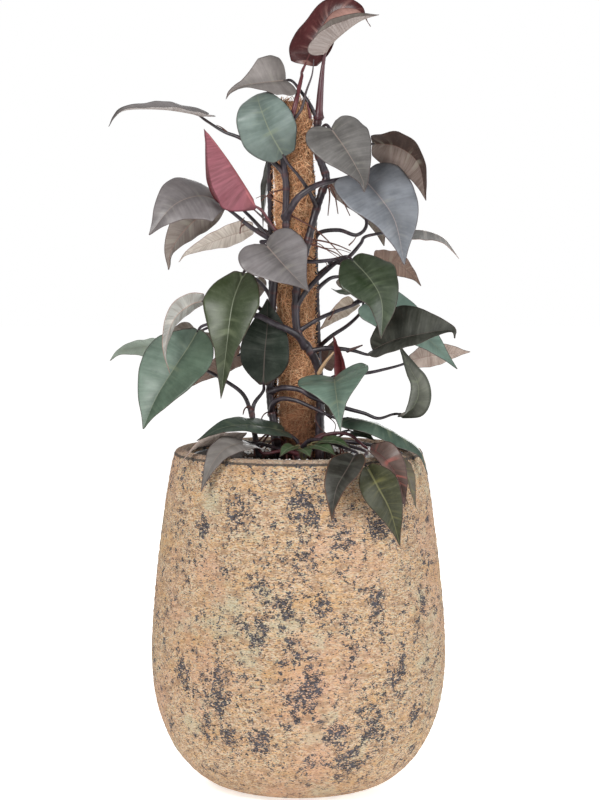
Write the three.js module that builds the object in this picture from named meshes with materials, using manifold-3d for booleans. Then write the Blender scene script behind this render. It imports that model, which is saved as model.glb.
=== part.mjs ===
// Potted climbing philodendron on a coir pole, in a tall egg-shaped planter.
// Millimetres, +Z up, origin at the centre of the planter's flat base, front of the plant towards -Y.

import * as THREE from 'three';
import { mergeVertices } from 'three/addons/utils/BufferGeometryUtils.js';
import Module from 'manifold-3d';

const wasm = await Module();
wasm.setup();

// Planter: radius and height pairs up the outside, then the rounded lip
const PLANTER_SIDE = [
  [74, 0], [92, 4], [110.5, 12], [130, 27], [149, 50], [163.5, 80], [173, 115], [176.8, 155], [176, 195],
  [173, 235], [169.2, 275], [164.3, 315], [158.5, 355], [152.5, 390], [149.6, 402],
];
const LIP_CREST_Z = 411;
const LIP_HALF_WIDTH = 9;
const LIP_MID_RADIUS = 140;
const LIP_ROUND_HEIGHT = 7;
const LIP_INSIDE_DROP = 16;
const LIP_ARC_STEPS = 5;
const PLANTER_WALL = 15;
const SHOULDER_BELOW_LIP = 40;
const PLANTER_FLOOR_Z = 20;
const FLOOR_MARGIN = 6;
const INSIDE_SKIP = 3;
const PLANTER_STEPS = 36;

// Liner, soil and gravel
const SEAT = 0.3;
const LINER_WALL = 1.6;
const LINER_FOOT_RADIUS = 96;
const LINER_TOP_RADIUS = 127;
const LINER_ROLL = 2;
const LINER_ROLL_HEIGHT = 6;
const LINER_TOP_Z = 403;
const SOIL_TOP_Z = 398;
const FILL_STEPS = 32;
const HOLE_STEPS = 12;
const CORE_HOLE_CLEARANCE = 1.4;
const POLE_HOLE_CLEARANCE = 1;
const CUTTER_TOP_Z = 430;
const GRAVEL_INNER_RADIUS = 68;
const GRAVEL_TOP_Z = 406.5;
const GRAVEL_LUMP = 1.8;
const GRAVEL_EDGE = 3;
const GRAVEL_RING_COUNT = 4;

// Coir pole with its wooden core, both leaning a little to the left as they rise
const POLE_RADIUS = 20.8;
const POLE_TOP_RADIUS = 17;
const POLE_FOOT_Z = 356;
const POLE_SHOULDER_Z = 800;
const POLE_TOP_Z = 824;
const POLE_LUMP = 1.1;
const POLE_RING_GAP = 33;
const POLE_TOP_ROUND = 6;
const POLE_STEPS = 16;
const POLE_BORE_EASE = 0.25;
const CORE_RADIUS = 8.6;
const CORE_FOOT_Z = 300;
const CORE_TOP_Z = 818;
const LEAN_START_Z = 430;
const LEAN_START_X = -1;
const LEAN_SLOPE = -0.0175;

// Stems, leaf stalks and aerial roots
const STEM_SIDES = 6;
const STALK_SIDES = 5;
const ROOT_SIDES = 4;
const STEP_LENGTH = 21;
const STEM_FOOT_Z = 362;
const STEM_STRAIGHT = 22;
const STEM_HOLE_CLEARANCE = 1.4;
const NODE_SPACING = 3;
const NODE_SWELL = 1.12;
const STALK_RADIUS = 2.7;
const STALK_TIP_RADIUS = 0.9;
const STALK_TUCK = 5;
const STALK_RUN = 10;
const STALK_SEAT = 0.7;
const ROOT_RADIUS = 1.1;
const ROOT_TIP_RADIUS = 0.7;
const YOUNG_STALK_RADIUS = 1.6;
const YOUNG_STALK_TUCK = 2;
const YOUNG_STALK_SINK = 3;

// Leaf blades
const BLADE_THICKNESS = 0.8;
const BLADE_ROWS = 7;
const YOUNG_BLADE_ROWS = 5;
const HALF_COLUMNS = 2;
const OVAL_STRETCH = 0.35;
const NOSE_START = 0.3;
const NOSE_SPAN = 0.35;
const WEDGE_SPAN = 0.3;
const MITRE_LIMIT = 2.2;
const FLAT_UNDER = 4;

// Margin of a leaf laid flat, from the sinus to the tip. Each point holds where its vein leaves the
// midrib, how far out the margin is in widths, and how far along it is in lengths.
const MARGIN = smoothCurve([
  [0, 0.13, -0.075], [0.02, 0.27, -0.1], [0.05, 0.4, -0.055], [0.1, 0.475, 0.05], [0.18, 0.495, 0.19],
  [0.3, 0.45, 0.36], [0.45, 0.345, 0.53], [0.62, 0.215, 0.7], [0.8, 0.095, 0.85], [1, 0.008, 1],
]);
const SINUS_SLOPE = 0.075 / 0.13;

const TONES = {
  green: 0x4f6553,
  dark: 0x2f3832,
  grey: 0x706f6c,
  blue: 0x78828a,
  tan: 0x8a7a6c,
  cream: 0xbdb2a4,
  red: 0x4c2a2c,
  pink: 0x9c5560,
  olive: 0x5a5f3c,
};

// One row for each leaf. rib is its midrib from base to tip, width its full width laid flat, face the way
// the upper side looks, fold how far the left and right halves rise from the midrib in degrees, and cup
// the further turn at the margin. lobe scales the heart-shaped base, wedge narrows the base, oval moves the
// widest line towards the tip and nose narrows the tip.
const LEAVES = [
  { name: 'crown_red', tone: 'red', width: 62, face: [-0.35, -0.9, 0.25], fold: [34, 0], cup: -20,
    lobe: 0.1, wedge: 0.3, rib: [[8, 15, 869], [23, 26, 903], [42, 25, 932], [70, 17, 934], [86, 11, 914]] },
  { name: 'crown_canoe', tone: 'grey', width: 50, face: [-0.6, -0.2, 0.75], fold: [55, 55], cup: 0,
    lobe: 0.6, rib: [[30, -10, 881], [37, -18, 892], [50, -32, 904], [72, -48, 919], [94, -60, 925]] },
  { name: 'upper_left_grey', tone: 'grey', width: 68, face: [-0.35, -1, 0], fold: [0, 50], cup: -16,
    lobe: 0.3, oval: -0.4, nose: 0.6,
    rib: [[-15, -5, 850], [-42, -18, 847], [-66, -33, 843], [-80, -43, 836], [-85, -51, 827]] },
  { name: 'upper_round_green', tone: 'green', width: 72, face: [0.1, -1, 0.15], fold: [-5, -5], cup: -15,
    lobe: 0.1, wedge: 0.5, oval: 0.8,
    rib: [[-17, -44, 760], [-33, -52, 788], [-45, -50, 818], [-49, -27, 833], [-50, -3, 824]] },
  { name: 'long_left', tone: 'grey', width: 60, face: [0, -0.16, 1], fold: [16, 16], cup: -10, lobe: 1,
    rib: [[-115, -15, 808], [-130, -20, 812], [-162, -32, 816], [-202, -42, 815], [-216, -46, 806],
      [-223, -48, 795]] },
  { name: 'young_pink', tone: 'pink', width: 74, face: [-0.83, 0, -0.55], fold: [70, 84], cup: -8,
    lobe: 0.1, wedge: 0.85, oval: 1, rib: [[-51, -45, 700], [-82, -77, 752], [-110, -84, 792]] },
  { name: 'left_big_grey', tone: 'grey', width: 80, face: [-0.3, -0.85, 0.4], fold: [8, 8], cup: -30,
    lobe: 0.2, wedge: 0.6, oval: 0.5,
    rib: [[-91, -40, 706], [-116, -58, 714], [-146, -80, 703], [-174, -88, 669]] },
  { name: 'left_taupe', tone: 'tan', width: 60, face: [-0.4, 0.85, -0.2], fold: [45, 5], cup: -10,
    lobe: 0.1, wedge: 0.6, rib: [[-90, -4, 703], [-125, -14, 683], [-150, -28, 652], [-154, -33, 626]] },
  { name: 'left_cream', tone: 'cream', width: 48, face: [-0.25, 0.3, 0.9], fold: [-14, 22], cup: -10,
    lobe: 0.1, wedge: 0.4,
    rib: [[-55, 10, 674], [-83, 5, 666], [-112, 0, 655], [-133, -5, 645], [-143, -5, 634]] },
  { name: 'centre_heart', tone: 'grey', width: 85, face: [0, -0.75, 0.65], fold: [12, 12], cup: -25,
    rib: [[-39, -52, 657], [-13, -78, 629], [12, -98, 604]] },
  { name: 'upper_right_heart', tone: 'grey', width: 78, face: [0.15, -0.8, 0.55], fold: [12, 12], cup: -25,
    rib: [[38, -42, 793], [57, -60, 766], [74, -72, 735], [77, -76, 719]] },
  { name: 'right_big_blue', tone: 'blue', width: 96, face: [0.1, -0.85, 0.5], fold: [24, 6], cup: -20,
    lobe: 0.7, rib: [[76, -30, 735], [99, -52, 708], [114, -66, 682], [124, -76, 634]] },
  { name: 'right_brown', tone: 'tan', width: 80, face: [0.6, 0.55, 0.55], fold: [-5, -18], cup: -20,
    lobe: 0.1, wedge: 0.5, oval: 0.8,
    rib: [[88, -8, 776], [118, -14, 772], [143, -22, 751], [151, -30, 708]] },
  { name: 'far_right_thin', tone: 'cream', width: 42, face: [0.1, -0.25, 1], fold: [-15, -15], cup: -10,
    lobe: 0.1, rib: [[122, 12, 672], [151, 12, 671], [175, 8, 661], [192, 5, 638]] },
  { name: 'right_brown_low', tone: 'tan', width: 56, face: [0.5, 0.6, 0.6], fold: [0, 0], cup: -20,
    lobe: 0.3, rib: [[92, 20, 635], [116, 20, 634], [135, 14, 621], [147, 8, 605]] },
  { name: 'right_round_green', tone: 'green', width: 76, face: [0.1, -0.85, 0.5], fold: [18, 6], cup: -30,
    lobe: 0.2, wedge: 0.5, oval: 0.8, nose: 0.3,
    rib: [[63, -36, 639], [86, -58, 614], [98, -68, 588], [97, -72, 547]] },
  { name: 'right_back_green', tone: 'green', width: 66, face: [0.2, -0.7, 0.65], fold: [5, 5], cup: -15,
    lobe: 0.8, rib: [[88, 15, 585], [118, 12, 571], [156, 10, 541], [191, 10, 505]] },
  { name: 'right_big_dark', tone: 'dark', width: 85, face: [-0.1, -0.8, 0.5], fold: [45, 14], cup: -15,
    lobe: 0.1, wedge: 0.6, oval: 0.9,
    rib: [[88, -20, 530], [114, -38, 543], [149, -54, 552], [178, -64, 556], [184, -67, 547]] },
  { name: 'right_tan', tone: 'tan', width: 54, face: [0, 0.6, 0.8], fold: [5, 5], cup: -10, lobe: 0.1,
    wedge: 0.6, oval: 0.8, rib: [[134, 30, 515], [168, 34, 521], [208, 36, 524]] },
  { name: 'right_curled', tone: 'green', width: 34, face: [0.3, -0.9, 0.2], fold: [40, 30], cup: -6,
    lobe: 0.1, wedge: 0.6, oval: 0.6,
    rib: [[121, -18, 452], [135, -30, 461], [142, -38, 477], [141, -42, 493], [133, -42, 508],
      [118, -40, 540]] },
  { name: 'front_triangle', tone: 'green', width: 88, face: [0, -0.7, 0.75], fold: [5, 28], cup: -10,
    lobe: 0.9, nose: 0.5, rib: [[42, -58, 500], [43, -86, 491], [46, -108, 468], [49, -118, 442]] },
  { name: 'left_long_green', tone: 'green', width: 72, face: [-0.1, -0.9, 0.4], fold: [8, 28], cup: -20,
    lobe: 0.1, wedge: 0.6, oval: 1.2, nose: 0.5,
    rib: [[-65, -42, 622], [-77, -69, 589], [-84, -83, 539], [-91, -83, 477]] },
  { name: 'left_low_green', tone: 'green', width: 90, face: [-0.15, -0.85, 0.5], fold: [8, 28], cup: -20,
    lobe: 0.1, wedge: 0.8, oval: 0.9,
    rib: [[-119, -42, 555], [-130, -56, 536], [-148, -70, 509], [-167, -82, 478], [-182, -88, 442]] },
  { name: 'left_curled_cream', tone: 'cream', width: 36, face: [-0.85, 0.5, 0.2], fold: [10, 10], cup: 0,
    lobe: 0.1, wedge: 0.4,
    rib: [[-112, -52, 591], [-128, -60, 586], [-145, -72, 572], [-154, -84, 549], [-155, -94, 528],
      [-150, -100, 508]] },
  { name: 'left_thin_green', tone: 'green', width: 58, face: [0, -0.4, 0.92], fold: [0, 0], cup: -10,
    lobe: 0.2, rib: [[-150, 0, 531], [-183, -8, 533], [-212, -14, 528], [-225, -18, 517]] },
  { name: 'centre_dark', tone: 'dark', width: 59, face: [-0.1, -0.95, 0.1], fold: [5, 5], cup: -15,
    lobe: 0.1, wedge: 0.8, oval: 1.2,
    rib: [[-42, -32, 490], [-40, -42, 528], [-37, -42, 560], [-37, -34, 592]] },
  { name: 'left_back_tan', tone: 'tan', width: 58, face: [-0.2, 0.5, 0.85], fold: [5, 5], cup: -10,
    rib: [[-72, 12, 523], [-100, 10, 505], [-128, 5, 485]] },
  { name: 'low_left_green', tone: 'green', width: 52, face: [0, -0.35, 0.94], fold: [5, 5], cup: -10,
    lobe: 0.2, oval: 0.6, rib: [[-16, -48, 436], [-57, -70, 445], [-89, -84, 443], [-119, -96, 429]] },
  { name: 'low_left_cream', tone: 'cream', width: 38, face: [-0.5, 0.35, 0.8], fold: [0, 0], cup: 0,
    lobe: 0.2, rib: [[-68, -55, 427], [-101, -72, 428], [-122, -87, 421], [-144, -93, 393]] },
  { name: 'low_left_grey', tone: 'grey', width: 50, face: [-0.3, -0.6, 0.7], fold: [8, 8], cup: -10,
    lobe: 0.2,
    rib: [[-46, -73.5, 418], [-67, -91.5, 425], [-85, -108, 421], [-98, -124, 408], [-108, -130, 388],
      [-113, -132, 373]] },
  { name: 'rim_dark', tone: 'dark', width: 49, face: [0, -0.9, 0.4], fold: [0, 45], cup: -10, lobe: 0.1,
    wedge: 0.5,
    rib: [[65, -138, 416], [56, -156, 402], [45, -166, 384], [40, -172, 364], [38, -174, 345]] },
  { name: 'rim_olive', tone: 'olive', width: 52, face: [0.2, -0.95, 0.2], fold: [24, 8], cup: -10,
    lobe: 0.1, wedge: 0.6, rib: [[79, -148, 404], [92, -151, 380], [106, -145, 352], [118, -134, 310]] },
  { name: 'rim_red_fold', tone: 'red', width: 42, face: [0.3, -0.8, 0.4], fold: [40, 40], cup: -6,
    lobe: 0.1, wedge: 0.7, rib: [[84, -101, 421], [103, -119, 407], [117, -122, 384], [124, -120, 354]] },
  { name: 'rim_olive_strip', tone: 'olive', width: 27, face: [0.8, -0.5, 0.2], fold: [20, 20], cup: -6,
    lobe: 0.1, wedge: 0.6, rib: [[116, -94, 410], [126, -100, 391], [132, -102, 372], [138, -100, 349]] },
  { name: 'rim_long_green', tone: 'green', width: 45, face: [0, -0.5, 0.85], fold: [5, -30], cup: -10,
    lobe: 0.1, oval: 0.8,
    rib: [[56, -67, 454], [88, -80, 448], [119, -76, 432], [143, -69, 414], [153, -64, 385]] },
  { name: 'centre_back_cream', tone: 'cream', width: 32, face: [0, 0.5, 0.85], fold: [5, 5], cup: 0,
    lobe: 0.2, rib: [[67, 15, 586], [46, 20, 569], [24, 28, 550]] },
  { name: 'upper_dark_edge', tone: 'dark', width: 34, face: [-1, 0.3, 0], fold: [5, 5], cup: 0, lobe: 0.2,
    rib: [[-32, 40, 758], [-41, 42, 715], [-43, 40, 672]] },
  { name: 'back_upper', tone: 'green', width: 64, face: [0.2, 0.9, 0.4], fold: [8, 8], cup: -20,
    rib: [[62, 60, 730], [90, 85, 700], [105, 95, 650]] },
  { name: 'back_left_mid', tone: 'green', width: 52, face: [-0.2, 0.9, 0.4], fold: [8, 8], cup: -20,
    rib: [[-60, 50, 610], [-78, 75, 580], [-88, 85, 530]] },
  { name: 'back_left_low', tone: 'green', width: 60, face: [-0.2, 0.9, 0.4], fold: [8, 8], cup: -20,
    rib: [[-125, 50, 545], [-150, 70, 515], [-168, 85, 470]] },
  { name: 'back_top', tone: 'grey', width: 60, face: [-0.2, 0.8, 0.6], fold: [8, 8], cup: -20,
    rib: [[-18, 38, 790], [-36, 62, 800], [-48, 82, 780]] },
  { name: 'back_right_mid', tone: 'green', width: 54, face: [0.2, 0.9, 0.4], fold: [8, 8], cup: -20,
    rib: [[66, 48, 614], [84, 72, 600], [92, 84, 566]] },
  { name: 'back_low', tone: 'green', width: 60, face: [0.1, 0.8, 0.6], fold: [8, 8], cup: -20,
    rib: [[20, 45, 480], [34, 80, 470], [40, 110, 435]] },
  { name: 'back_upper_right', tone: 'grey', width: 52, face: [0.2, 0.8, 0.6], fold: [8, 8], cup: -20,
    rib: [[36, 30, 780], [54, 58, 775], [64, 78, 740]] },
  { name: 'back_rim', tone: 'green', width: 56, face: [-0.1, 0.6, 0.8], fold: [8, 8], cup: -10,
    rib: [[0, 50, 440], [-5, 110, 448], [-8, 150, 430], [-10, 172, 395]] },
];

// Young leaves that are still one piece with the stem that bears them
const YOUNG_LEAVES = [
  { vine: 'vine_right', width: 24, face: [0, -0.3, 0.95], fold: [5, 5], cup: 0, lobe: 0.2,
    rib: [[66, -8, 600], [50, -10, 598], [39, -12, 603]],
    stalk: [[36, -27, 635], [58, -20, 630], [74, -11, 616], [79, -8, 603]] },
  { vine: 'vine_right', width: 26, face: [-0.2, -0.9, 0], fold: [60, 60], cup: -5, lobe: 0.1, oval: 0.5,
    rib: [[52, -37, 494], [50, -38, 520], [41, -39, 549]], stalk: [[26, -20, 488], [40, -31, 484]] },
  { vine: 'vine_right_back', width: 24, face: [0.2, 0.8, 0.3], fold: [5, 5], cup: 0, lobe: 0.3,
    rib: [[30, 32, 505], [36, 34, 520], [44, 36, 540]], stalk: [[24, 16, 478]] },
  { vine: 'vine_low', width: 22, face: [0, -0.5, 0.85], fold: [5, 5], cup: 0, lobe: 0.2,
    rib: [[64, -62, 437], [78, -71, 434], [90, -76, 427]],
    stalk: [[2, -48, 414], [26, -50, 428], [42, -50, 431]] },
  { vine: 'basal_shoots', width: 20, face: [-0.2, -0.6, 0.8], fold: [10, 10], cup: 0, lobe: 0.1,
    rib: [[-5, -110, 424], [-14, -122, 421], [-22, -134, 414]], stalk: [[6, -103, 406], [1, -104, 418]] },
  { vine: 'basal_shoots', width: 20, face: [0.1, -0.6, 0.8], fold: [10, 10], cup: 0, lobe: 0.1,
    rib: [[4, -112, 421], [9, -124, 419], [14, -137, 414]], stalk: [[6, -103, 404], [4, -104, 414]] },
  { vine: 'basal_shoots', width: 24, face: [0.2, -0.6, 0.8], fold: [10, 10], cup: 0, lobe: 0.1,
    rib: [[18, -108, 425], [32, -122, 422], [44, -134, 415]], stalk: [[6, -103, 406], [12, -103, 419]] },
  { vine: 'basal_shoots', width: 22, face: [0.1, -0.5, 0.85], fold: [10, 10], cup: 0, lobe: 0.1,
    rib: [[26, -100, 429], [44, -112, 430], [61, -126, 423]], stalk: [[6, -103, 408], [14, -98, 424]] },
];

// Main stems: each stands in a plain hole in the soil, and climbs the pole where it is tall
const STEMS = [
  { vine: 'vine_left', radius: 5, topRadius: 4, hole: [-22, -20],
    route: [[-27, -20, 432], [-33, -14, 462], [-34, -11, 490], [-32.5, -13, 540], [-31, -15, 583],
      [-27, -21, 620], [-19, -28.5, 656], [-15, -29.5, 676], [-15, -29.5, 700], [-14.5, -29.5, 726],
      [-17, -29.5, 745], [-18, -29.5, 765], [-14, -29.5, 788], [-8, -28.5, 806]] },
  { vine: 'vine_right', radius: 5.2, topRadius: 4.6, hole: [25, -17],
    route: [[25, -16, 440], [26, -16, 470], [24, -18, 505], [14, -27, 529], [1, -30.5, 547],
      [-3, -30.5, 565], [-3, -30.5, 590], [0, -30.5, 620], [10, -28.5, 655], [19, -23, 690], [27, -14, 715],
      [33, -10, 733], [28, -10, 750], [22, -11, 768], [22, -10, 790], [24, -10, 812]] },
  { vine: 'vine_right_back', radius: 4.6, topRadius: 3.6, hole: [28, 14],
    route: [[27, 14, 440], [25, 16, 490], [23, 18, 540], [21, 18, 600], [19, 18.5, 660], [17, 20, 720],
      [13, 21, 770]] },
  { vine: 'vine_left_back', radius: 4.6, topRadius: 3.6, hole: [-28, 15],
    route: [[-29, 14, 440], [-30, 14, 520], [-32, 12, 600], [-33, 12, 680], [-34, 12, 740],
      [-34, 14, 785]] },
  { vine: 'vine_left_low', radius: 4, topRadius: 3.2, hole: [-46, -36],
    route: [[-52, -34, 430], [-56, -32, 460]] },
  { vine: 'vine_low', radius: 6, topRadius: 4.5, hole: [0, -46], route: [[2, -47, 418]] },
  { vine: 'basal_shoots', radius: 2.4, topRadius: 1.8, hole: [6, -103], route: [[6, -103, 414]] },
];

// Leaf stalks, from the stem to just short of the leaf that each one bears
const STALKS = [
  { vine: 'vine_left', leaf: 'crown_red', radius: 3.4, tuck: 0,
    route: [[-9, -28.5, 800], [-3, -27.5, 824], [1, -16, 842], [4, -2, 855]] },
  { vine: 'vine_left', leaf: 'long_left', radius: 3.2,
    route: [[-15, -29, 738], [-34, -31, 757], [-66, -24, 780], [-88, -18, 789]] },
  { vine: 'vine_left', leaf: 'young_pink', route: [[-16, -29, 662], [-30, -36, 676]] },
  { vine: 'vine_left', leaf: 'left_big_grey', radius: 3.4,
    route: [[-19, -28, 656], [-36, -35, 664], [-58, -40, 678], [-74, -39, 691]] },
  { vine: 'vine_left', leaf: 'left_taupe', route: [[-20, -27, 650], [-36, -24, 666], [-60, -16, 691]] },
  { vine: 'vine_left', leaf: 'centre_heart', route: [[-19, -28, 655], [-34, -36, 659]] },
  { vine: 'vine_left', leaf: 'right_big_blue', radius: 4.6,
    route: [[-15, -29, 688], [-9, -42, 699], [2, -51, 714], [23, -50, 727], [49, -38, 733]] },
  { vine: 'vine_left', leaf: 'left_long_green', route: [[-25, -23, 625], [-42, -30, 634]] },
  { vine: 'vine_left', leaf: 'right_curled', radius: 3.6,
    route: [[-33, -13, 480], [-18, -34, 486], [2, -41, 484], [16, -45, 476], [38, -47, 468], [58, -45, 462],
      [78, -38, 456], [95, -28, 449]] },
  { vine: 'vine_left', leaf: 'rim_long_green', radius: 3.2,
    route: [[-33, -13, 452], [-31, -27, 465], [-21, -37, 473], [-4, -45, 472], [14, -51, 465],
      [32, -57, 457]] },
  { vine: 'vine_right', leaf: 'crown_canoe', radius: 4.8,
    route: [[24, -10, 806], [26, -9, 836], [28, -6, 858]] },
  { vine: 'vine_right', leaf: 'upper_left_grey', route: [[24, -10, 800], [13, -14, 822], [2, -6, 838]] },
  { vine: 'vine_right', leaf: 'upper_round_green', tuck: 0,
    route: [[22, -20, 697], [14, -38, 716], [1, -43, 736]] },
  { vine: 'vine_right', leaf: 'upper_right_heart', route: [[22, -10, 775], [26, -22, 790]] },
  { vine: 'vine_right', leaf: 'right_brown', route: [[24, -10, 760], [42, -2, 772], [60, -4, 776]] },
  { vine: 'vine_right', leaf: 'far_right_thin', radius: 3.2,
    route: [[-3, -30, 582], [14, -38, 607], [44, -24, 634], [60, -16, 641], [74, -6, 656], [80, 6, 664],
      [100, 12, 668]] },
  { vine: 'vine_right', leaf: 'right_round_green', route: [[4, -30, 636], [20, -37, 636], [40, -34, 638]] },
  { vine: 'vine_right', leaf: 'right_back_green',
    route: [[0, -30, 553], [24, -34, 568], [44, -24, 576], [64, -4, 582]] },
  { vine: 'vine_right', leaf: 'right_big_dark', radius: 3.2,
    route: [[14, -27, 529], [32, -31, 533], [50, -28, 532], [66, -18, 529]] },
  { vine: 'vine_right', leaf: 'front_triangle', route: [[25, -17, 488], [32, -34, 497]] },
  { vine: 'vine_right', leaf: 'left_low_green', radius: 4.6,
    route: [[8, -29, 536], [-4, -43, 551], [-28, -53, 563], [-50, -51, 573], [-80, -46, 572],
      [-100, -40, 564]] },
  { vine: 'vine_right_back', leaf: 'right_tan',
    route: [[25, 16, 485], [50, 10, 498], [82, 14, 500], [104, 20, 504]] },
  { vine: 'vine_right_back', leaf: 'right_brown_low',
    route: [[20, 18, 615], [40, 21, 630], [60, 22, 636]] },
  { vine: 'vine_right_back', leaf: 'centre_back_cream',
    route: [[23, 18, 530], [40, 9, 545], [60, 14, 558], [76, 23, 574]] },
  { vine: 'vine_right_back', leaf: 'back_upper',
    route: [[19, 18, 650], [24, 6, 668], [48, 4, 672], [70, 10, 666], [82, 30, 680], [70, 48, 712]] },
  { vine: 'vine_right_back', leaf: 'back_right_mid', route: [[21, 18, 600], [40, 27, 614]] },
  { vine: 'vine_right_back', leaf: 'back_upper_right', route: [[14, 20, 760], [20, 24, 776]] },
  { vine: 'vine_right_back', leaf: 'back_low', route: [[26, 15, 450], [21, 26, 466]] },
  { vine: 'vine_right_back', leaf: 'back_rim', route: [[27, 14, 422], [16, 32, 432]] },
  { vine: 'vine_left_back', leaf: 'left_cream', route: [[-33, 12, 652], [-37, 13, 668]] },
  { vine: 'vine_left_back', leaf: 'left_back_tan', route: [[-30, 14, 500], [-42, 13, 518]] },
  { vine: 'vine_left_back', leaf: 'left_curled_cream',
    route: [[-31, 13, 562], [-54, -6, 585], [-76, -32, 594], [-92, -42, 595]] },
  { vine: 'vine_left_back', leaf: 'back_left_mid', route: [[-32, 12, 590], [-44, 30, 606]] },
  { vine: 'vine_left_back', leaf: 'back_left_low',
    route: [[-30, 14, 528], [-60, 36, 550], [-95, 46, 556]] },
  { vine: 'vine_left_back', leaf: 'back_top', route: [[-34, 14, 772], [-28, 24, 786]] },
  { vine: 'vine_left_back', leaf: 'upper_dark_edge', route: [[-34, 13, 730], [-34, 24, 752]] },
  { vine: 'vine_left_low', leaf: 'left_thin_green',
    route: [[-55, -32, 452], [-66, -30, 478], [-90, -22, 495], [-113, -12, 507], [-128, -2, 518]] },
  { vine: 'vine_left_low', leaf: 'centre_dark', route: [[-56, -32, 455], [-52, -30, 468]] },
  { vine: 'vine_low', leaf: 'low_left_green', route: [[0, -46, 408], [-1, -44, 422]] },
  { vine: 'vine_low', leaf: 'low_left_cream', route: [[0, -46, 406], [-20, -52, 413], [-40, -54, 420]] },
  { vine: 'vine_low', leaf: 'low_left_grey', route: [[0, -48, 408], [-18, -56, 413]] },
  { vine: 'vine_low', leaf: 'rim_dark',
    route: [[0, -46, 412], [14, -62, 426], [34, -90, 427], [54, -114, 422]] },
  { vine: 'vine_low', leaf: 'rim_olive',
    route: [[4, -50, 412], [38, -70, 423], [62, -96, 422], [76, -122, 420], [79, -135, 418]] },
  { vine: 'vine_low', leaf: 'rim_red_fold', route: [[4, -50, 412], [30, -56, 431], [58, -68, 434]] },
  { vine: 'vine_low', leaf: 'rim_olive_strip',
    route: [[4, -50, 410], [50, -58, 424], [88, -74, 421], [103, -84, 418]] },
];

// Aerial roots, a spent leaf sheath and a bud, all growing out of the stems
const SPURS = [
  { vine: 'vine_left', route: [[-16, -30, 694], [20, -39, 674], [52, -38, 643]] },
  { vine: 'vine_left', route: [[-15, -30, 722], [-32, -36, 717], [-44, -41, 708]] },
  { vine: 'vine_left', route: [[-62, -40, 681], [-68, -42, 677], [-69, -42, 669]] },
  { vine: 'vine_left', radius: 2.2,
    route: [[-9, -29, 799], [3, -32, 815], [9, -31, 836], [16, -31, 856], [18, -31, 874]] },
  { vine: 'vine_right', route: [[33, -12, 730], [37, -15, 716], [35, -16, 690]] },
  { vine: 'vine_right', route: [[35, -12, 728], [43, -15, 714], [47, -16, 692]] },
  { vine: 'vine_right', route: [[35, -12, 731], [50, -17, 712], [61, -20, 690]] },
  { vine: 'vine_right', route: [[11, -29, 658], [26, -31, 653], [44, -30, 646], [52, -29, 640]] },
  { vine: 'vine_right', route: [[12, -29, 662], [28, -26, 660], [46, -22, 655], [62, -18, 648]] },
  { vine: 'vine_left_low', route: [[-55, -32, 462], [-63, -33, 462], [-66, -33, 454]] },
  { vine: 'vine_low', radius: 2.2,
    route: [[24, -50, 424], [46, -46, 428], [56, -44, 434], [66, -46, 444]] },
];

function smoothCurve(points) {
  return new THREE.CatmullRomCurve3(points.map((p) => new THREE.Vector3(...p)), false, 'catmullrom', 0.5);
}

function leanAt(z) {
  return LEAN_START_X + LEAN_SLOPE * (z - LEAN_START_Z);
}

// Joins shared corners and turns the faces outwards, so that the geometry is one closed solid
function closeSolid(geometry) {
  const bare = new THREE.BufferGeometry();
  bare.setAttribute('position', geometry.getAttribute('position').clone());
  if (geometry.index) bare.setIndex(geometry.index.clone());
  const solid = dropFlatTriangles(mergeVertices(bare, 1e-4));
  if (signedVolume(solid) < 0) solid.setIndex(Array.from(solid.index.array).reverse());
  solid.computeVertexNormals();
  return solid;
}

function dropFlatTriangles(geometry) {
  const index = geometry.index.array;
  const kept = [];
  for (let i = 0; i < index.length; i += 3) {
    const [a, b, c] = [index[i], index[i + 1], index[i + 2]];
    if (a !== b && b !== c && c !== a) kept.push(a, b, c);
  }
  geometry.setIndex(kept);
  return geometry;
}

function signedVolume(geometry) {
  const position = geometry.getAttribute('position');
  const index = geometry.index.array;
  const corners = [new THREE.Vector3(), new THREE.Vector3(), new THREE.Vector3()];
  let volume = 0;
  for (let i = 0; i < index.length; i += 3) {
    corners.forEach((corner, k) => corner.fromBufferAttribute(position, index[i + k]));
    volume += corners[0].dot(corners[1].clone().cross(corners[2])) / 6;
  }
  return volume;
}

function toManifold(geometry) {
  return new wasm.Manifold(new wasm.Mesh({
    numProp: 3,
    vertProperties: new Float32Array(geometry.getAttribute('position').array),
    triVerts: new Uint32Array(geometry.index.array),
  }));
}

function fromManifold(manifold) {
  const mesh = manifold.getMesh();
  const geometry = new THREE.BufferGeometry();
  geometry.setAttribute('position', new THREE.BufferAttribute(new Float32Array(mesh.vertProperties), 3));
  geometry.setIndex(Array.from(mesh.triVerts));
  geometry.computeVertexNormals();
  return geometry;
}

function joinAll(geometries) {
  return fromManifold(geometries.map(toManifold).reduce((whole, piece) => whole.add(piece)));
}

function cutAll(geometry, cutters) {
  return fromManifold(cutters.map(toManifold).reduce((whole, cutter) => whole.subtract(cutter),
    toManifold(geometry)));
}

// Turns a closed profile of radius and height pairs about +Z
function turned(profile, steps) {
  const points = profile.map(([radius, height]) => new THREE.Vector2(radius, height));
  const geometry = new THREE.LatheGeometry(points, steps);
  geometry.rotateX(Math.PI / 2);
  return closeSolid(geometry);
}

function moveVertices(geometry, move) {
  const position = geometry.getAttribute('position');
  const vertex = new THREE.Vector3();
  for (let i = 0; i < position.count; i += 1) {
    vertex.fromBufferAttribute(position, i);
    move(vertex);
    position.setXYZ(i, vertex.x, vertex.y, vertex.z);
  }
  return geometry;
}

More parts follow.
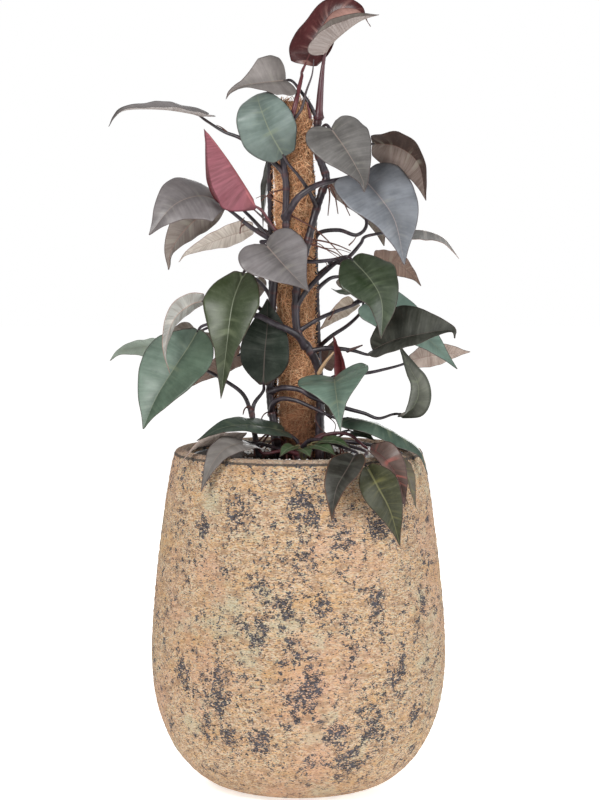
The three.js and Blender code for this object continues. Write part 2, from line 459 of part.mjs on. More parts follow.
function planterGeometry() {
  const lip = [];
  for (let i = 1; i <= LIP_ARC_STEPS; i += 1) {
    const angle = (Math.PI * i) / (LIP_ARC_STEPS + 1);
    const radius = LIP_MID_RADIUS + LIP_HALF_WIDTH * Math.cos(angle);
    lip.push([radius, LIP_CREST_Z - LIP_ROUND_HEIGHT * (1 - Math.sin(angle))]);
  }
  const mouthRadius = LIP_MID_RADIUS - LIP_HALF_WIDTH;
  const mouth = [[mouthRadius, LIP_CREST_Z - LIP_ROUND_HEIGHT],
    [mouthRadius, LIP_CREST_Z - LIP_INSIDE_DROP]];
  const inside = PLANTER_SIDE.filter(([, z]) => z > PLANTER_FLOOR_Z && z < LIP_CREST_Z - SHOULDER_BELOW_LIP)
    .filter((_, i) => i % INSIDE_SKIP === 0)
    .map(([radius, z]) => [radius - PLANTER_WALL, z])
    .reverse();
  const floor = [[LINER_FOOT_RADIUS + FLOOR_MARGIN, PLANTER_FLOOR_Z], [0, PLANTER_FLOOR_Z]];
  return turned([[0, 0], ...PLANTER_SIDE, ...lip, ...mouth, ...inside, ...floor], PLANTER_STEPS);
}

function linerRadius(z) {
  const share = (z - PLANTER_FLOOR_Z) / (LINER_TOP_Z - PLANTER_FLOOR_Z);
  return LINER_FOOT_RADIUS + (LINER_TOP_RADIUS - LINER_FOOT_RADIUS) * share;
}

function linerGeometry() {
  const foot = PLANTER_FLOOR_Z + SEAT;
  const neck = LINER_TOP_Z - LINER_ROLL_HEIGHT;
  return turned([
    [0, foot], [linerRadius(foot), foot], [linerRadius(neck), neck], [linerRadius(neck) + LINER_ROLL, neck],
    [LINER_TOP_RADIUS + LINER_ROLL, LINER_TOP_Z], [LINER_TOP_RADIUS - LINER_WALL, LINER_TOP_Z],
    [linerRadius(foot) - LINER_WALL, foot + LINER_WALL], [0, foot + LINER_WALL],
  ], FILL_STEPS);
}

// Straight cutter for a hole in the soil, from its floor to above the surface
function holeCutter(x, y, radius, floorZ) {
  const cutter = turned([[0, floorZ], [radius, floorZ], [radius, CUTTER_TOP_Z],
    [0, CUTTER_TOP_Z]], HOLE_STEPS);
  return moveVertices(cutter, (v) => v.set(v.x + x, v.y + y, v.z));
}

function stemHoles() {
  return STEMS.map(({ hole, radius }) => holeCutter(...hole, radius + STEM_HOLE_CLEARANCE,
    STEM_FOOT_Z - SEAT));
}

function soilGeometry() {
  const foot = PLANTER_FLOOR_Z + LINER_WALL + 2 * SEAT;
  const gap = LINER_WALL + 1.5 * SEAT;
  const body = turned([
    [0, foot], [linerRadius(foot) - gap, foot], [linerRadius(SOIL_TOP_Z) - gap, SOIL_TOP_Z],
    [0, SOIL_TOP_Z],
  ], FILL_STEPS);
  const poleHole = holeCutter(0, 0, POLE_RADIUS + POLE_LUMP + POLE_HOLE_CLEARANCE, POLE_FOOT_Z - SEAT);
  const coreHole = holeCutter(leanAt(CORE_FOOT_Z), 0, CORE_RADIUS + CORE_HOLE_CLEARANCE,
    CORE_FOOT_Z - SEAT);
  return cutAll(body, [poleHole, coreHole, ...stemHoles()]);
}

function gravelGeometry() {
  const foot = SOIL_TOP_Z + SEAT;
  const outer = linerRadius(SOIL_TOP_Z) - LINER_WALL - SEAT;
  const inner = GRAVEL_INNER_RADIUS;
  const crown = Array.from({ length: GRAVEL_RING_COUNT + 1 }, (_, i) => {
    const share = (i + 0.5) / (GRAVEL_RING_COUNT + 1);
    return [outer + (inner - outer) * share, GRAVEL_TOP_Z];
  });
  const ring = turned([
    [outer, foot], [outer, foot + GRAVEL_EDGE], ...crown, [inner, foot + GRAVEL_EDGE], [inner, foot],
    [outer, foot],
  ], FILL_STEPS);
  moveVertices(ring, (v) => {
    if (v.z > foot + GRAVEL_EDGE) v.z += GRAVEL_LUMP * Math.sin(v.x * 1.7 + 0.6) * Math.cos(v.y * 1.9);
  });
  const { hole, radius } = STEMS.at(-1);
  return cutAll(ring, [holeCutter(...hole, radius + STEM_HOLE_CLEARANCE, STEM_FOOT_Z)]);
}

function poleGeometry() {
  const bore = CORE_RADIUS + SEAT + POLE_BORE_EASE;
  const profile = [[bore, POLE_FOOT_Z], [POLE_RADIUS, POLE_FOOT_Z]];
  for (let z = SOIL_TOP_Z; z < POLE_SHOULDER_Z; z += POLE_RING_GAP) profile.push([POLE_RADIUS, z]);
  profile.push([POLE_TOP_RADIUS, POLE_TOP_Z - POLE_TOP_ROUND],
    [POLE_TOP_RADIUS - POLE_TOP_ROUND / 2, POLE_TOP_Z]);
  profile.push([bore, POLE_TOP_Z], [bore, POLE_FOOT_Z]);
  return moveVertices(turned(profile, POLE_STEPS), (v) => {
    const radius = Math.hypot(v.x, v.y);
    if (radius > bore + POLE_LUMP && v.z > SOIL_TOP_Z) {
      const angle = Math.atan2(v.y, v.x);
      const lump = POLE_LUMP * Math.sin(3 * angle + v.z * 0.11) * Math.cos(v.z * 0.07 + 2 * angle);
      v.set(v.x * (1 + lump / radius), v.y * (1 + lump / radius), v.z);
    }
    v.x += leanAt(v.z);
  });
}

function coreGeometry() {
  const core = turned([[0, CORE_FOOT_Z], [CORE_RADIUS, CORE_FOOT_Z], [CORE_RADIUS, CORE_TOP_Z],
    [0, CORE_TOP_Z]], HOLE_STEPS);
  return moveVertices(core, (v) => {
    v.x += leanAt(v.z);
  });
}

// Round limb along a route of points, its radius given by a function of the share along it
function limbGeometry(route, radiusAt, sides) {
  const path = smoothCurve(route);
  const steps = Math.max(3, Math.round(path.getLength() / STEP_LENGTH));
  const corners = Array.from({ length: sides }, (_, i) => (2 * Math.PI * i) / sides);
  const section = new THREE.Shape(corners.map((angle) => new THREE.Vector2(Math.cos(angle),
    Math.sin(angle))));
  const limb = new THREE.ExtrudeGeometry(section, { steps, extrudePath: path, bevelEnabled: false });
  const centres = path.getSpacedPoints(steps);
  moveVertices(limb, (v) => {
    const distances = centres.map((centre) => centre.distanceToSquared(v));
    const ring = distances.indexOf(Math.min(...distances));
    v.sub(centres[ring]).multiplyScalar(radiusAt(ring / steps, ring)).add(centres[ring]);
  });
  return closeSolid(limb);
}

function taper(start, end) {
  return (share) => start + (end - start) * share;
}

function stemGeometry({ hole: [x, y], route, radius, topRadius }) {
  const buried = [STEM_FOOT_Z, STEM_FOOT_Z + STEM_STRAIGHT, SOIL_TOP_Z + SEAT].map((z) => [x, y, z]);
  const plain = taper(radius, topRadius);
  const swollen = (ring) => ring > NODE_SPACING && ring % NODE_SPACING === 0;
  const jointed = (share, ring) => plain(share) * (swollen(ring) ? NODE_SWELL : 1);
  return limbGeometry([...buried, ...route], jointed, STEM_SIDES);
}

// Midrib curve of a leaf, with the sideways direction that its frame keeps
function leafFrame(leaf) {
  const rib = smoothCurve(leaf.rib);
  const chord = new THREE.Vector3(...leaf.rib.at(-1)).sub(new THREE.Vector3(...leaf.rib[0]));
  const side = chord.cross(new THREE.Vector3(...leaf.face)).normalize();
  return { rib, side, length: rib.getLength() };
}

function ribPoint({ rib, side, length }, along) {
  const share = THREE.MathUtils.clamp(along, 0, 1);
  const origin = rib.getPointAt(share);
  const tangent = rib.getTangentAt(share);
  if (along < 0) origin.addScaledVector(tangent, along * length);
  const normal = side.clone().cross(tangent).normalize();
  return { origin, tangent, normal, across: tangent.clone().cross(normal) };
}

function marginPoint(leaf, share) {
  const { x: vein, y: out, z: along } = MARGIN.getPoint(share);
  const stretch = 1 - OVAL_STRETCH * (leaf.oval ?? 0);
  const reach = along > 0 ? along ** stretch : along * (leaf.lobe ?? 1);
  const nose = (leaf.nose ?? 0) * THREE.MathUtils.clamp((reach - NOSE_START) / NOSE_SPAN, 0, 1);
  const wedge = (leaf.wedge ?? 0) * (1 - THREE.MathUtils.clamp(reach / WEDGE_SPAN, 0, 1)) ** 2;
  return { vein: vein ** stretch, out: out * (1 - nose) * (1 - wedge), reach };
}

// Middle and upper side direction of the blade, at a share out from the midrib towards a margin point. The
// halves flatten out where the blade is only a few millimetres wide.
function bladePoint(leaf, frame, margin, half) {
  const out = Math.abs(half);
  const narrow = Math.min(1, (margin.out * leaf.width) / FLAT_UNDER);
  const turn = leaf.fold[half > 0 ? 0 : 1] * narrow;
  const distance = margin.out * leaf.width * out;
  const { origin, normal, across } = ribPoint(frame, margin.vein + (margin.reach - margin.vein) * out);
  const bend = (share) => THREE.MathUtils.degToRad(turn + leaf.cup * share * margin.out * out * 2);
  const hand = Math.sign(half);
  const point = origin.clone()
    .addScaledVector(across, hand * distance * Math.cos(bend(0.5)))
    .addScaledVector(normal, distance * Math.sin(bend(0.5)));
  if (half === 0) {
    const mean = THREE.MathUtils.degToRad((leaf.fold[0] + leaf.fold[1]) / 2) * narrow;
    return { point, up: normal.clone().multiplyScalar(Math.min(MITRE_LIMIT, 1 / Math.cos(mean))) };
  }
  const up = normal.clone().multiplyScalar(Math.cos(bend(1))).addScaledVector(across,
    -hand * Math.sin(bend(1)));
  return { point, up };
}

function bladeGeometry(leaf, rows) {
  const frame = leafFrame(leaf);
  const columns = 2 * HALF_COLUMNS + 1;
  const upper = [];
  const lower = [];
  for (let row = 0; row < rows; row += 1) {
    const margin = marginPoint(leaf, row / (rows - 1));
    for (let column = 0; column < columns; column += 1) {
      const { point, up } = bladePoint(leaf, frame, margin, column / HALF_COLUMNS - 1);
      upper.push(point.clone().addScaledVector(up, BLADE_THICKNESS / 2));
      lower.push(point.clone().addScaledVector(up, -BLADE_THICKNESS / 2));
    }
  }
  return sheetSolid(upper, lower, rows, columns);
}

// Closes two like sheets of points into one solid, with the same triangles on both faces
function sheetSolid(upper, lower, rows, columns) {
  const offset = upper.length;
  const faces = [];
  const quad = (a, b, c, d) => faces.push(a, b, c, a, c, d);
  for (let row = 0; row < rows - 1; row += 1) {
    for (let column = 0; column < columns - 1; column += 1) {
      const a = row * columns + column;
      quad(a, a + 1, a + columns + 1, a + columns);
      faces.push(offset + a, offset + a + columns + 1, offset + a + 1);
      faces.push(offset + a, offset + a + columns, offset + a + columns + 1);
    }
    const left = row * columns;
    const right = left + columns - 1;
    quad(left, left + columns, offset + left + columns, offset + left);
    quad(right + columns, right, offset + right, offset + right + columns);
  }
  for (let column = 0; column < columns - 1; column += 1) {
    const last = (rows - 1) * columns + column;
    quad(column + 1, column, offset + column, offset + column + 1);
    quad(last, last + 1, offset + last + 1, offset + last);
  }
  const geometry = new THREE.BufferGeometry().setFromPoints([...upper, ...lower]);
  geometry.setIndex(faces);
  return closeSolid(geometry);
}

// Stalk that reaches the leaf from below and behind, and stops just short of the midrib's start
function stalkGeometry(leaf, route, radius, tuck, gap) {
  const frame = leafFrame(leaf);
  const { origin, tangent, normal } = ribPoint(frame, 0);
  const sinus = (SINUS_SLOPE * (leaf.lobe ?? 1) * frame.length) / leaf.width;
  const setback = gap + STALK_TIP_RADIUS * sinus;
  const end = origin.clone().addScaledVector(tangent, -setback);
  const bend = origin.clone().addScaledVector(tangent, -STALK_RUN).addScaledVector(normal, -tuck);
  return limbGeometry([...route, bend.toArray(), end.toArray()], taper(radius, STALK_TIP_RADIUS),
    STALK_SIDES);
}

function vineGeometry(vine) {
  const leafNamed = (name) => LEAVES.find((leaf) => leaf.name === name);
  const own = (piece) => piece.vine === vine;
  const stems = STEMS.filter(own).map(stemGeometry);
  const stalks = STALKS.filter(own).map(({ leaf, route, radius = STALK_RADIUS, tuck = STALK_TUCK }) => (
    stalkGeometry(leafNamed(leaf), route, radius, tuck, STALK_SEAT)
  ));
  const spurs = SPURS.filter(own).map(({ route, radius = ROOT_RADIUS }) => (
    limbGeometry(route, taper(radius, ROOT_TIP_RADIUS), ROOT_SIDES)
  ));
  const young = YOUNG_LEAVES.filter(own).flatMap((leaf) => [
    bladeGeometry(leaf, YOUNG_BLADE_ROWS),
    stalkGeometry(leaf, leaf.stalk, YOUNG_STALK_RADIUS, YOUNG_STALK_TUCK, -YOUNG_STALK_SINK),
  ]);
  return joinAll([...stems, ...stalks, ...spurs, ...young]);
}

const plant = new THREE.Group();

function addPiece(name, geometry, color, roughness) {
  const mesh = new THREE.Mesh(geometry, new THREE.MeshStandardMaterial({ color, roughness, metalness: 0 }));
  mesh.name = name;
  plant.add(mesh);
}

addPiece('planter', planterGeometry(), 0xc7a680, 0.9);
addPiece('liner', linerGeometry(), 0x1c1d1f, 0.5);
addPiece('soil', soilGeometry(), 0x2b2019, 1);
addPiece('gravel', gravelGeometry(), 0xd6d0c4, 0.8);
addPiece('coir_pole', poleGeometry(), 0xa5754f, 1);
addPiece('pole_core', coreGeometry(), 0x7a5a3c, 0.8);
STEMS.forEach(({ vine }) => addPiece(vine, vineGeometry(vine), 0x372d32, 0.5));
LEAVES.forEach((leaf) => addPiece(`leaf_${leaf.name}`, bladeGeometry(leaf, BLADE_ROWS), TONES[leaf.tone],
    0.45));

export default plant;
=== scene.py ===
import bpy
import math
import random
import numpy as np
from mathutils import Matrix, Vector, noise


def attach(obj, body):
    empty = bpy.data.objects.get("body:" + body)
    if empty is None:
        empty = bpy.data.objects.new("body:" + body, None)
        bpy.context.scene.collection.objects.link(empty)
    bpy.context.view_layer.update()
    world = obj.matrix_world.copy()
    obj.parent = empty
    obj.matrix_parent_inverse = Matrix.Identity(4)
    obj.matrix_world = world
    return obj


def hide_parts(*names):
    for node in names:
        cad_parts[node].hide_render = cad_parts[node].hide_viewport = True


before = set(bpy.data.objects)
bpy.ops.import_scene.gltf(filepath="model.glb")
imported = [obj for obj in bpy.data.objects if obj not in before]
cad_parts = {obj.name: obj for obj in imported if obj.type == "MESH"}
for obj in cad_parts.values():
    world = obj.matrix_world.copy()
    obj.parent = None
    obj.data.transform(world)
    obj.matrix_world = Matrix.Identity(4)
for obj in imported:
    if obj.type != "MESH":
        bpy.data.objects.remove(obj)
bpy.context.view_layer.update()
print("frame loaded:", len(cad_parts), "nodes")

mm = 0.001


# Small helpers for colours, nodes and meshes

def paint(swatch):
    # a colour as a painter reads it from a swatch, 0 to 255, turned linear
    levels = [level / 255 for level in swatch]
    return (*[x / 12.92 if x <= 0.04045 else ((x + 0.055) / 1.055) ** 2.4 for x in levels], 1)


def addNode(tree, kind, values=None, **settings):
    # a socket is linked, a swatch for a colour is painted and any other value is set
    node = tree.nodes.new(kind)
    for key, value in settings.items():
        setattr(node, key, value)
    for key, value in (values or {}).items():
        socket = node.inputs[key]
        if isinstance(value, bpy.types.NodeSocket):
            tree.links.new(value, socket)
        else:
            socket.default_value = paint(value) if socket.type == "RGBA" else value
    return node


def calc(tree, operation, first, second=0.0):
    return addNode(tree, "ShaderNodeMath", {0: first, 1: second}, operation=operation).outputs[0]


def weigh(tree, part):
    # a part is a value alone, or a pair of a value and its weight
    return calc(tree, "MULTIPLY", *part) if isinstance(part, tuple) else part


def total(tree, *parts):
    result = weigh(tree, parts[0])
    for part in parts[1:]:
        result = calc(tree, "ADD", result, weigh(tree, part))
    return result


def blendColours(tree, factor, first, second, mode="MIX"):
    values = {0: weigh(tree, factor), 6: first, 7: second}
    return addNode(tree, "ShaderNodeMix", values, data_type="RGBA", blend_type=mode).outputs[2]


def layered(tree, base, *layers):
    # lays washes over a colour, each with its mask, or a pair of mask and strength, and its colour
    for factor, colour in layers:
        base = blendColours(tree, factor, base, colour)
    return base


def softStep(tree, value, low, high):
    return addNode(tree, "ShaderNodeMapRange", {"Value": value, "From Min": low, "From Max": high},
                   interpolation_type="SMOOTHSTEP").outputs[0]


def colourRamp(tree, factor, stops):
    node = addNode(tree, "ShaderNodeValToRGB", {0: factor})
    ramp = node.color_ramp
    while len(ramp.elements) < len(stops):
        ramp.elements.new(0.5)
    for element, (position, swatch) in zip(ramp.elements, stops):
        element.position = position
        element.color = paint(swatch)
    return node.outputs[0]


def noiseAt(tree, place, scale, detail=3.0, rough=0.55, seed=0.0):
    values = {"Vector": place, "W": seed, "Scale": scale, "Detail": detail, "Roughness": rough}
    return addNode(tree, "ShaderNodeTexNoise", values, noise_dimensions="4D").outputs[0]


def stretched(tree, place, upright):
    # draws a pattern out along the upright axis, or presses it flat
    return addNode(tree, "ShaderNodeMapping", {"Vector": place, "Scale": (1, 1, upright)}).outputs[0]


def objectPlace(tree):
    return addNode(tree, "ShaderNodeTexCoord").outputs["Object"]


def attribute(tree, name):
    return addNode(tree, "ShaderNodeAttribute", attribute_name=name).outputs["Fac"]


def newGroup(name, inputs, outputs, family="Shader"):
    # a group of nodes with named sockets, listed by their kind
    group = bpy.data.node_groups.new(name, family + "NodeTree")
    for side, kinds in (("INPUT", inputs), ("OUTPUT", outputs)):
        for kind, labels in kinds.items():
            for label in labels.split():
                group.interface.new_socket(name=label, in_out=side, socket_type="NodeSocket" + kind)
    return group, group.nodes.new("NodeGroupInput").outputs, group.nodes.new("NodeGroupOutput").inputs


def useGroup(tree, group, **values):
    return addNode(tree, "ShaderNodeGroup", values, node_tree=group).outputs


def newMaterial(name, rough=0.5, gloss=0.5):
    material = bpy.data.materials.new(name)
    material.use_nodes = True
    tree = material.node_tree
    tree.nodes.clear()
    shader = addNode(tree, "ShaderNodeBsdfPrincipled", {"Roughness": rough, "Specular IOR Level": gloss})
    addNode(tree, "ShaderNodeOutputMaterial", {"Surface": shader.outputs[0]})
    return material, tree


def dress(material, colour, height, depth, strength=1.0, rough=None):
    # gives a material its colour, its bumps of a depth in mm, and its roughness where that varies
    tree = material.node_tree
    bump = addNode(tree, "ShaderNodeBump", {"Strength": strength, "Distance": depth * mm, "Height": height})
    for label, socket in (("Base Color", colour), ("Normal", bump.outputs[0]), ("Roughness", rough)):
        if socket is not None:
            tree.links.new(socket, tree.nodes["Principled BSDF"].inputs[label])
    return material


def newMesh(name, vertices, faces, material=None):
    mesh = bpy.data.meshes.new(name)
    mesh.from_pydata([tuple(v) for v in np.asarray(vertices) * mm], [], faces)
    if material:
        mesh.materials.append(material)
    return mesh


def addObject(name, data):
    thing = bpy.data.objects.new(name, data)
    bpy.context.scene.collection.objects.link(thing)
    return thing


def placePiece(piece, replaced=()):
    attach(piece, "root")
    if replaced:
        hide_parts(*replaced)


def makePiece(name, vertices, faces, material, slot, replaced, marks=None):
    mesh = newMesh(name, vertices, faces, material)
    for label, values in (marks or {}).items():
        layer = mesh.attributes.new(label, "FLOAT", "POINT")
        layer.data.foreach_set("value", np.asarray(values, dtype=np.float32))
    mesh.shade_smooth()
    mesh.validate()
    placePiece(addObject(name, mesh), replaced)


# Curves: a smooth line through given points, with distances along it

def spline(points, place):
    # place counts the given points, with fractions between them
    points = np.array(points, float)
    ends = np.vstack([2 * points[0] - points[1], points, 2 * points[-1] - points[-2]])
    span = np.minimum(place.astype(int), len(points) - 2)
    t = (place - span)[:, None]
    a, b, c, d = (ends[span + k] for k in range(4))
    return 0.5 * (2 * b + (c - a) * t + (2 * a - 5 * b + 4 * c - d) * t ** 2
                  + (3 * b - a - 3 * c + d) * t ** 3)


def smoothCurve(points, perSpan=24):
    dense = spline(points, np.arange((len(points) - 1) * perSpan + 1) / perSpan)
    return dense, np.concatenate([[0], np.cumsum(np.linalg.norm(np.diff(dense, axis=0), axis=1))])


def curveAt(curve, distance):
    dense, along = curve
    return np.stack([np.interp(distance, along, column) for column in dense.T], axis=-1)


def unit(vectors):
    return vectors / np.maximum(np.linalg.norm(vectors, axis=-1, keepdims=True), 1e-9)


def ringSkin(rows, sides, closed=False):
    # rings of corners round a line, or one point where the radius is nil, joined into faces
    vertices, faces, rings = [], [], []
    angles = np.arange(sides) * 2 * math.pi / sides
    for centre, radius, one, two in rows:
        if radius < 1e-6:
            rings.append([len(vertices)] * sides)
            vertices.append(centre)
        else:
            rings.append(range(len(vertices), len(vertices) + sides))
            ring = np.outer(np.cos(angles), one) + np.outer(np.sin(angles), two)
            vertices += list(centre + radius * ring)
    for low, high in list(zip(rings, rings[1:])) + ([(rings[-1], rings[0])] if closed else []):
        for i in range(sides):
            j = (i + 1) % sides
            face = tuple(dict.fromkeys((low[i], low[j], high[j], high[i])))
            if len(face) > 2:
                faces.append(face)
    return np.array(vertices, float), faces


def lathe(profile, sides, closed=False):
    # turns a profile of radius and height about the upright axis
    return ringSkin([((0, 0, z), radius, (1, 0, 0), (0, 1, 0)) for radius, z in profile], sides, closed)


def outward(vertices, faces):
    # turns the faces round if the closed mesh is inside out
    quads = np.array([face if len(face) == 4 else face + face[-1:] for face in faces])
    a, b, c, d = (vertices[quads[:, k]] for k in range(4))
    volume = (a * np.cross(b, c)).sum() + (a * np.cross(c, d)).sum()
    return [tuple(reversed(face)) for face in faces] if volume < 0 else faces


# Camera, lights and floor

camera = dict(place=(1.8, -3600, 778), aim=(1.8, 0, 468.5), lens=135.5, sensor=36, reach=50)
lights = [
    dict(name="windowKey", place=(-1300, -2400, 2100), size=1100, power=77, colour=(1, 0.99, 0.97)),
    dict(name="rightFill", place=(2300, -1300, 900), size=1500, power=41, colour=(0.96, 0.98, 1)),
    dict(name="backFill", place=(600, 2600, 700), size=1500, power=26, colour=(1, 1, 1)),
]
studio = dict(
    lightAim=(0, 0, 480), backdrop=1.0, daylight=0.46, floor=(250, 250, 249), floorPale=(253, 253, 252),
    floorCloud=3, glow=0.62, corners=[(-9000, -6000, 0), (9000, -6000, 0), (9000, 9000, 0), (-9000, 9000, 0)],
)


def aimAt(thing, place, aim):
    thing.location = Vector(place) * mm
    thing.rotation_euler = (Vector(aim) - Vector(place)).to_track_quat("-Z", "Y").to_euler()


def makeStudio():
    scene = bpy.context.scene
    lensData = bpy.data.cameras.new("plantCamera")
    lensData.lens, lensData.sensor_width = camera["lens"], camera["sensor"]
    lensData.clip_end = camera["reach"]
    scene.camera = addObject("plantCamera", lensData)
    aimAt(scene.camera, camera["place"], camera["aim"])
    for light in lights:
        lamp = bpy.data.lights.new(light["name"], "AREA")
        lamp.size, lamp.energy, lamp.color = light["size"] * mm, light["power"], light["colour"]
        aimAt(addObject(light["name"], lamp), light["place"], studio["lightAim"])
    scene.world = bpy.data.worlds.new("softRoom")
    scene.world.use_nodes = True
    room = scene.world.node_tree
    background = room.nodes["Background"]
    background.inputs[0].default_value = (1, 1, 1, 1)
    seen = addNode(room, "ShaderNodeLightPath").outputs["Is Camera Ray"]
    power = addNode(room, "ShaderNodeMapRange", {"Value": seen, "To Min": studio["daylight"],
                                                 "To Max": studio["backdrop"]}).outputs[0]
    room.links.new(power, background.inputs[1])
    scene.view_settings.view_transform = "Standard"
    paper, tree = newMaterial("paperFloor", 1, 0)
    sheen = tree.nodes["Principled BSDF"].inputs
    sheen["Emission Strength"].default_value = studio["glow"]
    shade = noiseAt(tree, objectPlace(tree), studio["floorCloud"])
    tint = blendColours(tree, shade, studio["floor"], studio["floorPale"])
    for label in ("Base Color", "Emission Color"):
        tree.links.new(tint, sheen[label])
    floor = addObject("paperFloor", newMesh("paperFloor", studio["corners"], [(0, 1, 2, 3)], paper))


makeStudio()
print("studio ready")


# Shared effects

def makeGrain():
    # loose mineral or earthy grain: a coarse and a fine noise, as a mask and a height
    group, given, result = newGroup("grain", dict(Vector="place", Float="scale seed"),
                                    dict(Float="mask height"))
    place, scale, seed = given["place"], given["scale"], given["seed"]
    coarse = noiseAt(group, place, scale, 2, 0.6, seed)
    fine = noiseAt(group, place, weigh(group, (scale, 2.3)), 2, 0.7, seed)
    mix = total(group, (coarse, 0.6), (fine, 0.4))
    group.links.new(softStep(group, mix, 0.4, 0.6), result["mask"])
    group.links.new(mix, result["height"])
    return group


def makeMottle():
    # slow change of tone over a surface, from one colour to another
    group, given, result = newGroup("mottle", dict(Vector="place", Float="scale seed", Color="light dark"),
                                    dict(Color="colour"))
    cloud = noiseAt(group, given["place"], given["scale"], 4, 0.6, given["seed"])
    tone = blendColours(group, softStep(group, cloud, 0.36, 0.64), given["light"], given["dark"])
    group.links.new(tone, result["colour"])
    return group


grain = makeGrain()
mottle = makeMottle()


# Planter: a turned shell with a granular sandstone skin and a dark band under its pale lip

planter = dict(
    side=[(74, 0), (92, 4), (110.5, 12), (130, 27), (149, 50), (163.5, 80), (173, 115), (176.8, 155),
          (176, 195), (173, 235), (169.2, 275), (164.3, 315), (158.5, 355), (152.5, 390), (149.6, 402)],
    foot=[(0, 0), (40, 0)], mouth=[(131, 402), (131, 395)], bottom=[(102, 20), (0, 20)],
    innerTop=370, wall=15, lipMid=140, lipHalf=9, crest=411, lipRound=7, lipSteps=16, steps=420, rows=190,
    relief=0.8, slowSwell=0.08, quickSwell=0.23, bumps=3.2,
    # the sizes of the grains, and how far patterns are pressed flat or drawn out
    gritScale=480, hueScale=330, dustScale=210, pressed=2.4, drawn=0.7,
    grains=[(0, (70, 54, 43)), (0.18, (130, 101, 77)), (0.45, (186, 154, 126)), (1, (226, 206, 181))],
    # single grains of another hue: which of them, how strongly, in which colour
    oddGrains=[("GREATER_THAN", 0.72, 0.45, (222, 178, 122)), ("LESS_THAN", 0.2, 0.4, (206, 206, 178))],
    # slow washes of colour: pressed flat or not, scale, where they begin and are full, seed, strength
    washes=[(True, 13, 0.5, 0.66, 5, 0.4, (196, 150, 92)), (False, 10, 0.48, 0.66, 9, 0.5, (204, 158, 132)),
            (False, 16, 0.54, 0.66, 12, 0.45, (186, 186, 160)),
            (True, 60, 0.5, 0.62, 15, 0.6, (150, 118, 92))],
    patchScale=42, looseScale=120, gatherPull=0.09, darkFade=(0.52, 0.59), darkShare=0.74, strayShare=0.05,
    charcoal=(20, 23, 33), ash=(96, 98, 108), charcoalStrength=0.94,
    footFade=(60, 10), footColour=(150, 118, 92), lipFade=(406, 408), lip=(150, 134, 124),
    bandLow=(403.5, 404.8), bandHigh=(407.8, 406.6), band=(54, 55, 58), ragged=4,
    # where dark grains gather on the front: sideways place, height and reach
    gathered=[
        (-66, 348, 30), (8, 354, 28), (-112, 330, 18), (2, 296, 22), (46, 318, 28), (-44, 262, 20),
        (-12, 246, 18), (28, 244, 18), (-64, 226, 16), (-44, 202, 18), (0, 188, 26), (-136, 158, 20),
        (-100, 140, 34), (8, 140, 32), (112, 148, 26), (50, 94, 28), (86, 98, 32), (56, 60, 28),
        (-108, 104, 18), (144, 240, 16), (92, 240, 18), (-40, 84, 20), (136, 108, 20), (-78, 86, 16),
        (90, 330, 16)],
)


def frontPoint(x, height):
    # the place on the front of the planter at this distance from its middle and this height
    radius = np.interp(height, [z for r, z in planter["side"]], [r for r, z in planter["side"]])
    return (x * mm, -math.sqrt(max(radius ** 2 - x ** 2, 0)) * mm, height * mm * planter["drawn"])


def planterMaterial():
    material, tree = newMaterial("sandstoneSkin", 0.92, 0.25)
    place = objectPlace(tree)
    flat, tall = stretched(tree, place, planter["pressed"]), stretched(tree, place, planter["drawn"])

    def mosaic(scale):
        # cells, each with three shares of its own
        cells = addNode(tree, "ShaderNodeTexVoronoi", {"Vector": flat, "Scale": scale}).outputs
        return cells["Distance"], addNode(tree, "ShaderNodeSeparateColor", {0: cells["Color"]}).outputs

    def fade(value, name):
        return softStep(tree, value, *[height * mm for height in planter[name]])

    gritDistance, lots = mosaic(planter["gritScale"])
    dust = useGroup(tree, grain, place=flat, scale=planter["dustScale"], seed=2.0)
    base = colourRamp(tree, total(tree, (lots[0], 0.72), (dust["height"], 0.3)), planter["grains"])
    hueLots = mosaic(planter["hueScale"])[1]
    for side, limit, strength, colour in planter["oddGrains"]:
        base = layered(tree, base, ((calc(tree, side, hueLots[0], limit), strength), colour))
    for pressed, scale, low, high, seed, strength, colour in planter["washes"]:
        mask = softStep(tree, noiseAt(tree, flat if pressed else place, scale, 4, 0.65, seed), low, high)
        base = layered(tree, base, ((mask, strength), colour))
    # charcoal grains gather in patches, and lie singly between them
    patch = noiseAt(tree, tall, planter["patchScale"], 4, 0.65, 21)
    loose = noiseAt(tree, place, planter["looseScale"], 4, 0.7, 22)
    gather = 0.0
    for x, height, reach in planter["gathered"]:
        away = addNode(tree, "ShaderNodeVectorMath", {0: tall, 1: frontPoint(x, height)},
                       operation="DISTANCE").outputs["Value"]
        gather = calc(tree, "MAXIMUM", gather, softStep(tree, away, reach * mm * 1.15, 0))
    field = total(tree, (patch, 0.38), (loose, 0.62), (gather, planter["gatherPull"]))
    crowd = softStep(tree, field, *planter["darkFade"])
    dark = calc(tree, "LESS_THAN", lots[1], total(tree, (crowd, planter["darkShare"]), planter["strayShare"]))
    charcoal = blendColours(tree, (lots[2], 0.8), planter["charcoal"], planter["ash"])
    # the foot is darker, the lip is greyer, with a narrow dark band under it
    height = addNode(tree, "ShaderNodeSeparateXYZ", {0: place}).outputs[2]
    ragged = total(tree, height, (calc(tree, "SUBTRACT", loose, 0.5), planter["ragged"] * mm))
    band = weigh(tree, (fade(ragged, "bandLow"), fade(ragged, "bandHigh")))
    base = layered(tree, base, ((dark, planter["charcoalStrength"]), charcoal),
                   ((fade(height, "footFade"), 0.3), planter["footColour"]),
                   ((fade(ragged, "lipFade"), 0.5), planter["lip"]), ((band, 0.85), planter["band"]))
    lumps = total(tree, (dust["height"], 1.2), (gritDistance, -0.5))
    return dress(material, base, lumps, planter["bumps"], rough=total(tree, (lots[0], 0.15), 0.82))


